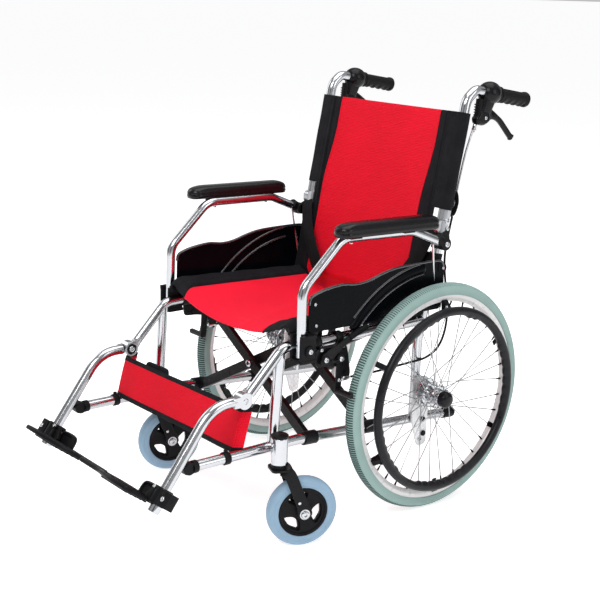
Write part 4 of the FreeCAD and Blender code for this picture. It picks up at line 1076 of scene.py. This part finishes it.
def disc_face(shape, x, axis, bright, painted_shade):
    """The leg rest disc's face: a raised rim, a recess in black plastic that stands for the shade
    round the bolt (painted shade), and the pivot's bolt head.
    """
    centre = Vector((x, -480, 322))
    lathe(shape, centre, axis, [(0, 12.2), (0, 16.8), (1.6, 16.2), (1.6, 12.2)], bright, 36)
    # the recess is drawn in the black finish: painted shade round the bolt
    lathe(shape, centre, axis, [(0, 0), (0, 12.2), (0.7, 12.2), (0.7, 0)], painted_shade, 36)
    bolt(shape, centre + axis * 0.6, axis, 7, 4, bright)


def legrest_fittings(name, sign):
    """The disc's outer face, and the tube's height hole drawn as a black disc of painted shade."""
    shape = Shape(CHROME, BLACK_PLASTIC)
    # the disc face's recess in black plastic is painted shade
    disc_face(shape, 221.6, X, 0, 1)
    # a flat black disc stands for the height hole: painted shade
    out = Vector((224.5, -659, 180))
    lathe(shape, out, X, [(0, 0), (0, 3.4), (1.0, 3.0), (1.0, 0)], 1, 20)
    return shape.mirrored(sign).make(name)


pairs((footplate, "foot_board", "footplate_flap", "footplate", "black_plastic"),
    (footplate_hub, "foot_block", "legrest", "footplate_hub", "black_plastic"),
    (legrest_fittings, "leg_fittings", "legrest", None, "chrome_tube"))

# ------------------------------------------------------------------ seat, back and straps


def thickened(obj, thick, offset, hem=0.0, segments=3):
    """Gives a sheet its thickness in metres and a rounded hem, and applies both."""
    solid = obj.modifiers.new("thickness", "SOLIDIFY")
    solid.thickness = thick
    solid.offset = offset
    if hem:
        edge = obj.modifiers.new("hem", "BEVEL")
        edge.width = hem
        edge.segments = segments
        edge.limit_method = "ANGLE"
        edge.angle_limit = SHARP
    graph = bpy.context.evaluated_depsgraph_get()
    flat = obj.data
    obj.data = bpy.data.meshes.new_from_object(obj.evaluated_get(graph))
    obj.modifiers.clear()
    bpy.data.meshes.remove(flat)
    obj.data.shade_smooth()
    return obj


def sling(name, columns, rows, point, materials, thick, keep_face=None, hem=True):
    """A padded sheet: point(u, v) over two lists of stations, black beyond u = 80."""
    shape = Shape(*materials)
    verts = []
    uvs = []
    for v in rows:
        across = 0.0
        last = None
        for u in columns:
            p = Vector(point(u, v))
            if last is not None:
                across += (p - last).length
            last = p
            verts.append(p)
            uvs.append((across / 1000, v / 1000))
    faces = []
    slots = []
    width = len(columns)
    for face in grid(len(rows), width):
        c = face[0] % width
        r = face[0] // width
        u = (columns[c] + columns[c + 1]) / 2
        v = (rows[r] + rows[r + 1]) / 2
        if keep_face and not keep_face(u, v):
            continue
        faces.append(face)
        slots.append(1 if abs(u) > 80 else 0)
    shape.add(verts, faces, 0, uvs)
    shape.slots = slots
    obj = shape.make(name, angle=70, loose=True)
    bm = bmesh.new()
    bm.from_mesh(obj.data)
    loose = [v for v in bm.verts if not v.link_faces]
    bmesh.ops.delete(bm, geom=loose, context="VERTS")
    bm.to_mesh(obj.data)
    bm.free()
    thickened(obj, thick / 1000, -1, thick / 1000 * 0.42 if hem else 0.0)
    if not hem:
        obj.data.set_sharp_from_angle(angle=SHARP)
    return obj


def stations(start, stop, step):
    count = int(round((stop - start) / step)) + 1
    return [round(mix(start, stop, i / (count - 1)), 3) for i in range(count)]


SEAT_FRONT = -369.0
SEAT_REAR = -2.0
SEAT_ROLL = -334                     # where the front edge starts to roll down
SEAT_EDGE = 189                      # where the border meets the roll over the rail
RAIL_SIDE = 208
RAIL_ROLL = 17.8                     # the roll's radius


def rail_z(y):
    return 452.9 - (y + 360.3) * 14.9 / 344.8


def seat_seam(v, side):
    """Half the red panel's width: it lies toward the sitter's right."""
    share = (v - SEAT_FRONT) / (SEAT_REAR - SEAT_FRONT)
    if side > 0:
        return mix(128, 134, share)
    return mix(175, 181, share) - 14 * max(0.0, (-330 - v) / 39) ** 2


def seat_point(u, v):
    """u within 80 is the red panel, to 100 the black border, beyond it the roll over the rail."""
    side = copysign(1, u) if u else 1
    a = abs(u) / 100
    rz = rail_z(v)
    front = max(0.0, (SEAT_ROLL - v) / (SEAT_ROLL - SEAT_FRONT))
    roll = sqrt(max(0.04, 1 - front ** 2))
    seam = seat_seam(v, side)
    if a <= 1:
        x = seam * a / 0.8 if a < 0.8 else mix(seam, SEAT_EDGE, (a - 0.8) / 0.2)
        share = x / SEAT_EDGE
        z = rz - 31 + 38 * share ** 2.3
        z += 0.9 * sin(x * side / 31 + v / 47) * (1 - share ** 4)
        z += 1.6 * exp(-((x * side + v * 0.42 + 96) / 15) ** 2) * (1 - share ** 2)
        z -= 14 * front ** 2.2 * (0.6 + 0.4 * share)
        z -= 5 * smooth_step((v + 70) / 70) * (1 - share)
        z -= 2.2 * exp(-((x - seam) / 2.2) ** 2)
        if x > seam:
            puff = sin(pi * min(1.0, (x - seam) / (SEAT_EDGE - seam) * 0.8)) ** 0.8
            z += (6.5 if side > 0 else 3.0) * puff * roll
            z += 0.9 * sin(v / 13 + x / 7) * puff
    else:
        angle = radians(140 - (a - 1) / 0.4 * 200)
        size = RAIL_ROLL * (0.45 + 0.55 * roll)
        x = RAIL_SIDE + size * cos(angle)
        z = rz + size * sin(angle) - 7 * front ** 2
        z += 0.8 * sin(v / 15) * sin(angle)
        x += 0.6 * sin(v / 19) * sin(angle)
        if a < 1.06:
            joined = smooth_step((a - 1) / 0.06)
            z = mix(rz + 9 - 14 * front ** 2.2, z, joined)
            x = mix(SEAT_EDGE, x, joined)
    return x * side, v, z


def seat_columns():
    inside = [78.0 * k / 40 for k in range(41)] + [78.7, 79.2, 79.6, 80, 80.4, 80.8, 81.3, 82]
    inside += [82 + 18.0 * k / 14 for k in range(1, 15)] + [100 + 40 * k / 24
        for k in range(1, 25)]
    return sorted(set(inside + [-c for c in inside]))


# the seat uses the lighter, painted-light copy of the red mesh
seat = sling("seat_sling", seat_columns(), stations(SEAT_FRONT, SEAT_REAR, 4.6), seat_point,
    [SEAT_RED_PAINTED_LIGHT, BLACK_FABRIC], 5.0)
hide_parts("seat")
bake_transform(seat)


SLEEVE_RADIUS = 15.0                 # the fabric sleeve round the back's cane


def cane_x(z):
    return 222.0 if z > 632 else 215 + 7 * (z - 372) / 260


def seam_x(z, side):
    """Half the red panel's width at a height: the panel drifts to the right lower down."""
    drift = 15 * smooth_step((800 - z) / 150)
    return 164 - drift if side > 0 else 165 + drift


def back_point(u, v):
    """u within 100 is the front panel, beyond it the sleeve round the cane; v is the height."""
    side = copysign(1, u) if u else 1
    a = abs(u) / 100
    base = HINGE + LEAN * ((v - HINGE.z) / LEAN.z)
    forward = Vector((0, -LEAN.z, LEAN.y))
    centre = cane_x(v)
    lap = 20.0
    edge = centre - lap
    if a <= 1:
        seam = seam_x(v, side)
        x = seam * a / 0.8 if a < 0.8 else mix(seam, edge, (a - 0.8) / 0.2)
        bow = 15 * (1 - (x / edge) ** 2) * (0.55 + 0.45 * sin(pi * (v - 430) / 440))
        d = 14.4 - bow + 0.7 * sin(x * side / 43 + v / 61)
        gap = x - seam
        d += 1.3 * exp(-((gap + 1.8) / 1.2) ** 2) - 1.2 * exp(-((gap - 1.6) / 1.5) ** 2)
        d += 1.6 * exp(-((x - 189.5) / 2.2) ** 2) - 2.6 * exp(-((x - 185) / 1.9) ** 2)
        if v > 855:
            d -= 0.9 * smooth_step((v - 855) / 4)
    else:
        t = (a - 1) / 0.4
        arc = pi * SLEEVE_RADIUS
        length = t * (lap + arc + 30)
        if length < lap:
            x, d = edge + length, 14.6
        elif length < lap + arc:
            angle = pi / 2 - (length - lap) / SLEEVE_RADIUS
            x = centre + SLEEVE_RADIUS * cos(angle)
            d = SLEEVE_RADIUS * sin(angle)
        else:
            x, d = centre - (length - lap - arc), -14.8
        d += 0.35 * sin(v / 17 + x / 9)
    p = base + forward * d
    tuck = 16 * smooth_step((456 - v) / 30) if a <= 1 else 0.0
    return x * side, p.y + tuck, p.z


def seam_columns():
    inside = [80.0 * k / 34 for k in range(34)] + [78.4, 79.0, 79.6, 80, 80.6, 81.4, 82.4, 84]
    inside += [84 + 16.0 * k / 20 for k in range(1, 21)] + [100 + 40 * k / 34
        for k in range(1, 35)]
    return sorted(set(inside + [-c for c in inside]))


upper = sling("back_sling_upper", seam_columns(), stations(640, 862, 4.0), back_point,
    [RED_MESH, BLACK_FABRIC], 3.4, lambda u, v: abs(u) < 99 or v > 655, hem=False)
lower = sling("back_sling_lower", seam_columns(), stations(398, 640.2, 4.0), back_point,
    [RED_MESH, BLACK_FABRIC], 3.4, lambda u, v: abs(u) < 99 or 438 < v < 562, hem=False)
for piece, node, body in ((upper, "back_upper", "backrest_left"),
        (lower, "back_lower", "frame_left")):
    put(piece, body, node)
    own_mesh(piece)


def calf_strap(name):
    """A padded band with black bindings along both edges, turned in round the frame."""
    shape = Shape(RED_MESH, BLACK_FABRIC)
    plan = smooth_path([(-231, -10, 0), (-231, -30, 0), (-224, -43, 0), (-206, -46, 0),
        (-100, -43, 0), (0, -41, 0), (100, -39, 0), (192, -36, 0), (207, -30, 0), (214, -16, 0)],
        12)
    tilt = radians(-16)
    rows = [0, 1.5, 4, 6.5, 8.2, 9.4] + [11 + 3.5 * k for k in range(21)]
    rows += [82.6, 83.8, 85.5, 88, 90.5, 92]
    verts = []
    uvs = []
    length = 0.0
    for i, p in enumerate(plan):
        if i:
            length += (p - plan[i - 1]).length
        for h in rows:
            puff = 2.6 * sin(pi * min(h, 91.99) / 92) ** 0.5
            wave = 0.8 * sin(p.x / 23 + h / 17)
            band = 1.1 if (h < 9 or h > 83) else 0.0
            y = p.y - puff - band - wave * 0.4
            verts.append(Vector((p.x, -462 + y * cos(tilt) - h * sin(tilt),
                213 + h * cos(tilt) + 0.6 * sin(p.x / 61))))
            uvs.append((length / 1000, h / 1000))
    shape.add(verts, grid(len(plan), len(rows)), 0, uvs)
    shape.slots = [0 if 8.3 < rows[f[0] % len(rows)] < 83.7 else 1 for f in shape.faces]
    return thickened(shape.make(name, angle=70, loose=True), 0.004, 0, 0.0014, 2)


strap = put(calf_strap("calf_band"), "frame_left", "calf_strap")
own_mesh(strap)


def calf_tab(name):
    """The black fastening tab that stands up behind the calf strap's top edge."""
    shape = Shape(BLACK_FABRIC)
    outline = round_corners([(-150, 270), (-150, 307), (-66, 309), (-58, 272)], 10, 5)
    prism(shape, outline, lambda a, b, c: Vector((a, -480 + c + (b - 290) * 0.27, b)), 6, 0)
    return shape.make(name, angle=60, bevel=2.0, segments=3)


tab = put(calf_tab("calf_tab"), "frame_left")
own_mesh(tab)


def lap_belt(name, sign):
    """A flat webbing belt from the hinge, curving inward down the back to the seat."""
    shape = Shape(WEBBING)
    line = smooth_path([(214, 24.5, 612), (205, 16.5, 590), (193, 9.5, 558), (172, 1.5, 522),
        (146, -6.5, 489), (122, -14, 466), (112, -24, 448)], 10)
    sweep(shape, line, rounded_box(36, 2.0, 0.9, 3), 0, up=Vector((0, -0.96, 0.2)), uv=True)
    return shape.mirrored(sign).make(name, angle=60)


for belt in pairs((lap_belt, "belt", "frame", "lap_belt", "webbing")):
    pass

# ------------------------------------------------------------------ carried-over metalwork

FINISHES = {"side_frame": CHROME, "axle_plate": WHITE_STEEL, "brace": BLACK_STEEL,
    "back_cane": CHROME, "armrest_tube": CHROME, "legrest_tube": CHROME}
for label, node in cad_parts.items():
    finish = FINISHES.get(label.rsplit("_", 1)[0])
    if finish is not None:
        for material_slot in node.material_slots:
            material_slot.material = finish

SLOPE = radians(3.8)               # of the lower side tube
REARWARD = Vector((0, cos(SLOPE), -sin(SLOPE)))
LOWER_END = Vector((213, -340, 207.5)) + REARWARD * 449
SEAT_TUBE_Z = 414.0
LEVER_AXIS = Vector((243, -298, 382))
SHOE_AXIS = Vector((243, -256, 377))


def tube_ring(shape, centre, axis, length, inner, outer, slot=0):
    """A sleeve round a tube with softly rounded ends."""
    lathe(shape, Vector(centre), axis, [(0, inner), (0, outer - 1), (0.4, outer - 0.3),
        (1.2, outer), (length - 1.2, outer), (length - 0.4, outer - 0.3), (length, outer - 1),
        (length, inner)], slot, 32)


def frame_caps(name, sign):
    """Tip cap, swivel housing and its cap, plugs, leg rest clip, disc face and strap clip."""
    shape = Shape(BLACK_PLASTIC, CHROME)
    tube_ring(shape, LOWER_END - REARWARD * 22, REARWARD, 23, TUBE, 13.2)
    lathe(shape, LOWER_END, REARWARD, [(0, 0), (0, 13.2), (8, 13.2), (11, 12), (12, 9), (12, 0)],
        0, 32)
    housing = Vector((247, -410, 182))
    lathe(shape, housing, Z, [(0, 8.1), (0, 16), (1.4, 17.4), (56, 17.4), (57, 16.6), (57, 8.1)],
        1, 40)
    lathe(shape, housing + Z * 57, Z, [(0, 0), (0, 17.4), (1.2, 18), (5, 18), (6.6, 15.6), (7, 0)],
        0, 40)
    tube_ring(shape, housing - Z * 3.5, Z, 4, 8.1, 17.6)
    for y, z in ((8, 186), (11, 152)):
        rod(shape, (231.4, y, z), (235, y, z), 6.4, 0, 20)
    outline = round_corners([(-599, 198), (-599, 218), (-609, 222), (-624, 212), (-620, 199),
        (-608, 195)], 3, 3)
    side_plate(shape, outline, 204.5, 17)
    tube_ring(shape, (213, -600, 208), Y, 12, TUBE, 12.8)
    # the disc face's recess in black plastic is painted shade
    disc_face(shape, 204.6, -X, 1, 0)
    tube_ring(shape, (213, -526, 207.8), Y, 14, TUBE, 13.4)
    rod(shape, (213, -519, 219), (213, -519, 226), 4.2, 0, 14)
    return shape.mirrored(sign).make(name, bevel=0.5)


def post_cradle(name, sign):
    """The cradle that takes the armrest's front post, and the armrest's rear bracket."""
    shape = Shape(BLACK_PLASTIC, CHROME)
    for grow, low, high in ((0, 387, 437), (1.6, 435, 443), (1.2, 386, 392)):
        outline = round_corners([(222 - grow, -371), (222 - grow, -331 + grow),
            (259 + grow, -331 + grow), (259 + grow, -371), (252, -371), (252, -344.5),
            (228, -344.5), (228, -371)], 5, 4)
        prism(shape, outline, lambda a, b, c, low=low: Vector((a, b, low + c)), high - low, 0)
    prism(shape, [(224, -371), (257, -371), (257, -333), (224, -333)], lambda a, b,
        c: Vector((a, b, 387 + c)), 6, 0)
    tube_ring(shape, (222, -338, SEAT_TUBE_Z), Y, 34, TUBE, 16)
    rod(shape, (257, -349, 411), (263, -349, 411), 11.5, 0, 32)
    ear = round_corners([(18, 600), (50, 614), (56, 588), (20, 575)], 8, 5)
    side_plate(shape, ear, 233, 6)
    tube_ring(shape, HINGE - LEAN * 62, LEAN, 35, TUBE, 15.4)
    rod(shape, (233, 24, 588), (242, 24, 588), 12.6, 0, 32)
    return shape.mirrored(sign).make(name, bevel=0.6)


def brake_base(name, sign):
    """The brake's base plate, clamped to the seat tube, with its bosses and cable stop."""
    shape = Shape(BLACK_STEEL, CHROME)
    outline = round_corners([(-316, 366), (-320, 404), (-236, 404), (-231, 384), (-223, 338),
        (-232, 322), (-243, 330), (-250, 358), (-284, 364)], 8, 4)
    side_plate(shape, outline, 239, 3.6)
    for y in (-312, -254):
        tube_ring(shape, (222, y, SEAT_TUBE_Z), Y, 16, TUBE, 15)
        rod(shape, (230, y + 8, 402), (243, y + 8, 402), 5)
        bolt(shape, (243, y + 8, 402), X, 4, 2.6, 1)
    rod(shape, (243, -228, 331), (243, -246, 331), 5, 1, 16)
    return shape.mirrored(sign).make(name, bevel=0.5)


def brake_handle(name, sign):
    """The parking lever: a stepped bar with a moulded grip and its pivot boss."""
    shape = Shape(BLACK_STEEL, CHROME, BLACK_PLASTIC)
    outline = round_corners([(-312, 374), (-306, 393), (-262, 411), (-222, 430), (-196, 438),
        (-192, 428), (-222, 416), (-256, 398), (-286, 374), (-300, 369)], 6, 4)
    side_plate(shape, outline, 246.5, 3.6)
    sweep(shape, [(248.3, -234, 419), (248.3, -210, 428), (248.3, -186, 436)],
        rounded_box(14, 9, 4, 4), 2, up=X)
    rod(shape, LEVER_AXIS + X * 3.4, LEVER_AXIS + X * 8.4, 9.5, 0, 28)
    rod(shape, (250, -284, 379), (250, -262, 371), 3.2, 0, 12)
    return shape.mirrored(sign).make(name, bevel=0.5)


def brake_foot(name, sign):
    """The shoe arm, curved down from its pivot, and the square foot that presses the tyre."""
    shape = Shape(BLACK_STEEL, CHROME)
    outline = round_corners([(-267, 380), (-258, 389), (-246, 384), (-246, 362), (-250, 338),
        (-252, 304), (-268, 304), (-265, 336), (-264, 362)], 6, 4)
    side_plate(shape, outline, 243, 4)
    rod(shape, SHOE_AXIS + X * 1, SHOE_AXIS + X * 6.4, 9.5, 0, 28)
    sweep(shape, [(242, -261, 309), (292, -261, 309)], rounded_box(10, 11, 2.5, 3), up=Z)
    bolt(shape, (247, -258, 331), X, 4.4, 3, 1)
    return shape.mirrored(sign).make(name, bevel=0.5)


def frame_bolts(name, sign):
    """The axle's nut, and bolts on the hinge, the axle plate, the cradle and the brake."""
    shape = Shape(CHROME)
    nut(shape, (231.6, 0, 254), X, 10.5, 6)
    for place, radius, high in ((HINGE + X * 11, 6.5, 4), ((231.5, 0, 276), 5, 3),
            ((231.5, 2, 140), 5, 3), ((262.8, -349, 411), 5.6, 3), ((251.2, -298, 382), 6, 4),
            ((249.2, -256, 377), 6, 4)):
        bolt(shape, place, X, radius, high)
    return shape.mirrored(sign).make(name)


pairs((frame_caps, "caps", "frame", "frame_fittings", "black_plastic"),
    (post_cradle, "cradle", "frame", "arm_sockets", "black_plastic"),
    (brake_base, "brake_base", "frame", "brake_bracket", "black_steel"),
    (brake_handle, "brake_handle", "parking_lever_arm", "parking_lever", "black_steel"),
    (brake_foot, "brake_foot", "brake_shoe_arm", "brake_shoe", "black_steel"),
    (frame_bolts, "bolts", "frame", None, "chrome_tube"))


def brace_bolts(name):
    """The scissor's two bolts, between the bars."""
    shape = Shape(CHROME)
    for middle in (-88, 79):
        y = -205.2 + middle * cos(SLOPE)
        z = 305.6 - middle * sin(SLOPE)
        bolt(shape, (0, y - 12.2, z), -Y, 8, 5)
        nut(shape, (0, y + 12.2, z), Y, 7, 6, 0)
    return shape.make(name)


put(brace_bolts("brace_bolts"), "cross_brace_left")

# ------------------------------------------------------------------ stage, lights and camera


def stage_mesh(name, verts, material, visible=True):
    mesh = bpy.data.meshes.new(name)
    mesh.from_pydata(verts, [], [list(range(len(verts)))])
    mesh.materials.append(material)
    obj = bpy.data.objects.new(name, mesh)
    scene.collection.objects.link(obj)
    obj.visible_camera = visible
    if not visible:
        obj.visible_diffuse = False
        obj.visible_shadow = False


FLOOR = plain("floor", (0.90, 0.90, 0.905), 0.7, vary=0.003, grain_strength=0.0,
    Specular_IOR_Level=0.0, Emission_Color=(1, 1, 1, 1), Emission_Strength=0.54)
FLAG = plain("flag", (0.03, 0.03, 0.032), 0.9, vary=0.05)
stage_mesh("floor", [(160 * cos(a), 160 * sin(a), 0) for a in (2 * pi * i / 64
    for i in range(64))], FLOOR)
for index, (azimuth, distance, wide) in enumerate(((8, 4.2, 1.5), (62, 4.6, 1.2), (118, 4.4, 1.5),
        (178, 4.6, 1.6), (232, 4.4, 1.4), (300, 4.4, 1.5))):
    a = radians(azimuth)
    c = Vector((cos(a) * distance, sin(a) * distance, 0))
    t = Vector((-sin(a), cos(a), 0)) * wide / 2
    stage_mesh("flag_%d" % index, [c - t + Z * 0.05, c + t + Z * 0.05, c + t + Z * 3.2,
        c - t + Z * 3.2], FLAG, visible=False)

world = bpy.data.worlds.new("studio")
scene.world = world
world.use_nodes = True
tree = world.node_tree
coords = tree.nodes.new("ShaderNodeTexCoord")
split = tree.nodes.new("ShaderNodeSeparateXYZ")
ramp = tree.nodes.new("ShaderNodeValToRGB")
tree.links.new(coords.outputs["Generated"], split.inputs["Vector"])
tree.links.new(split.outputs["Z"], ramp.inputs["Fac"])
ramp.color_ramp.elements[0].position = 0.0
ramp.color_ramp.elements[0].color = (1.0, 1.0, 1.0, 1)
ramp.color_ramp.elements[1].position = 0.7
ramp.color_ramp.elements[1].color = (0.9, 0.9, 0.91, 1)
tree.links.new(ramp.outputs["Color"], tree.nodes["Background"].inputs["Color"])
tree.nodes["Background"].inputs["Strength"].default_value = 0.52


def area(name, place, target, wide, high, power):
    data = bpy.data.lights.new(name, "AREA")
    data.shape = "RECTANGLE"
    data.size = wide
    data.size_y = high
    data.energy = power
    obj = bpy.data.objects.new(name, data)
    scene.collection.objects.link(obj)
    place = Vector(place)
    obj.location = place
    obj.rotation_euler = (Vector(target) - place).to_track_quat("-Z", "Y").to_euler()


area("key", (1.6, -2.6, 3.2), (0, 0, 0.4), 2.2, 1.8, 80)
area("top", (0.2, 0.4, 3.6), (0, 0, 0.3), 3.0, 3.0, 70)
area("side", (3.4, 1.2, 1.7), (0, 0, 0.4), 1.6, 2.0, 24)
area("left", (-3.2, -0.8, 2.0), (0, 0, 0.4), 1.6, 2.2, 24)

EYE = (2.0472, -1.6102, 1.1193)
forward = Vector((-0.7499, 0.6123, -0.2507)).normalized()
upward = Vector((-0.2112, 0.1375, 0.9677))
across = forward.cross(upward).normalized()
upward = across.cross(forward).normalized()
camera_data = bpy.data.cameras.new("camera")
camera_data.lens = 73.06
camera_data.sensor_width = 36.0
camera = bpy.data.objects.new("camera", camera_data)
scene.collection.objects.link(camera)
camera.matrix_world = Matrix.Translation(EYE) @ Matrix((across, upward,
    -forward)).transposed().to_4x4()
camera_data.clip_end = 400
scene.camera = camera
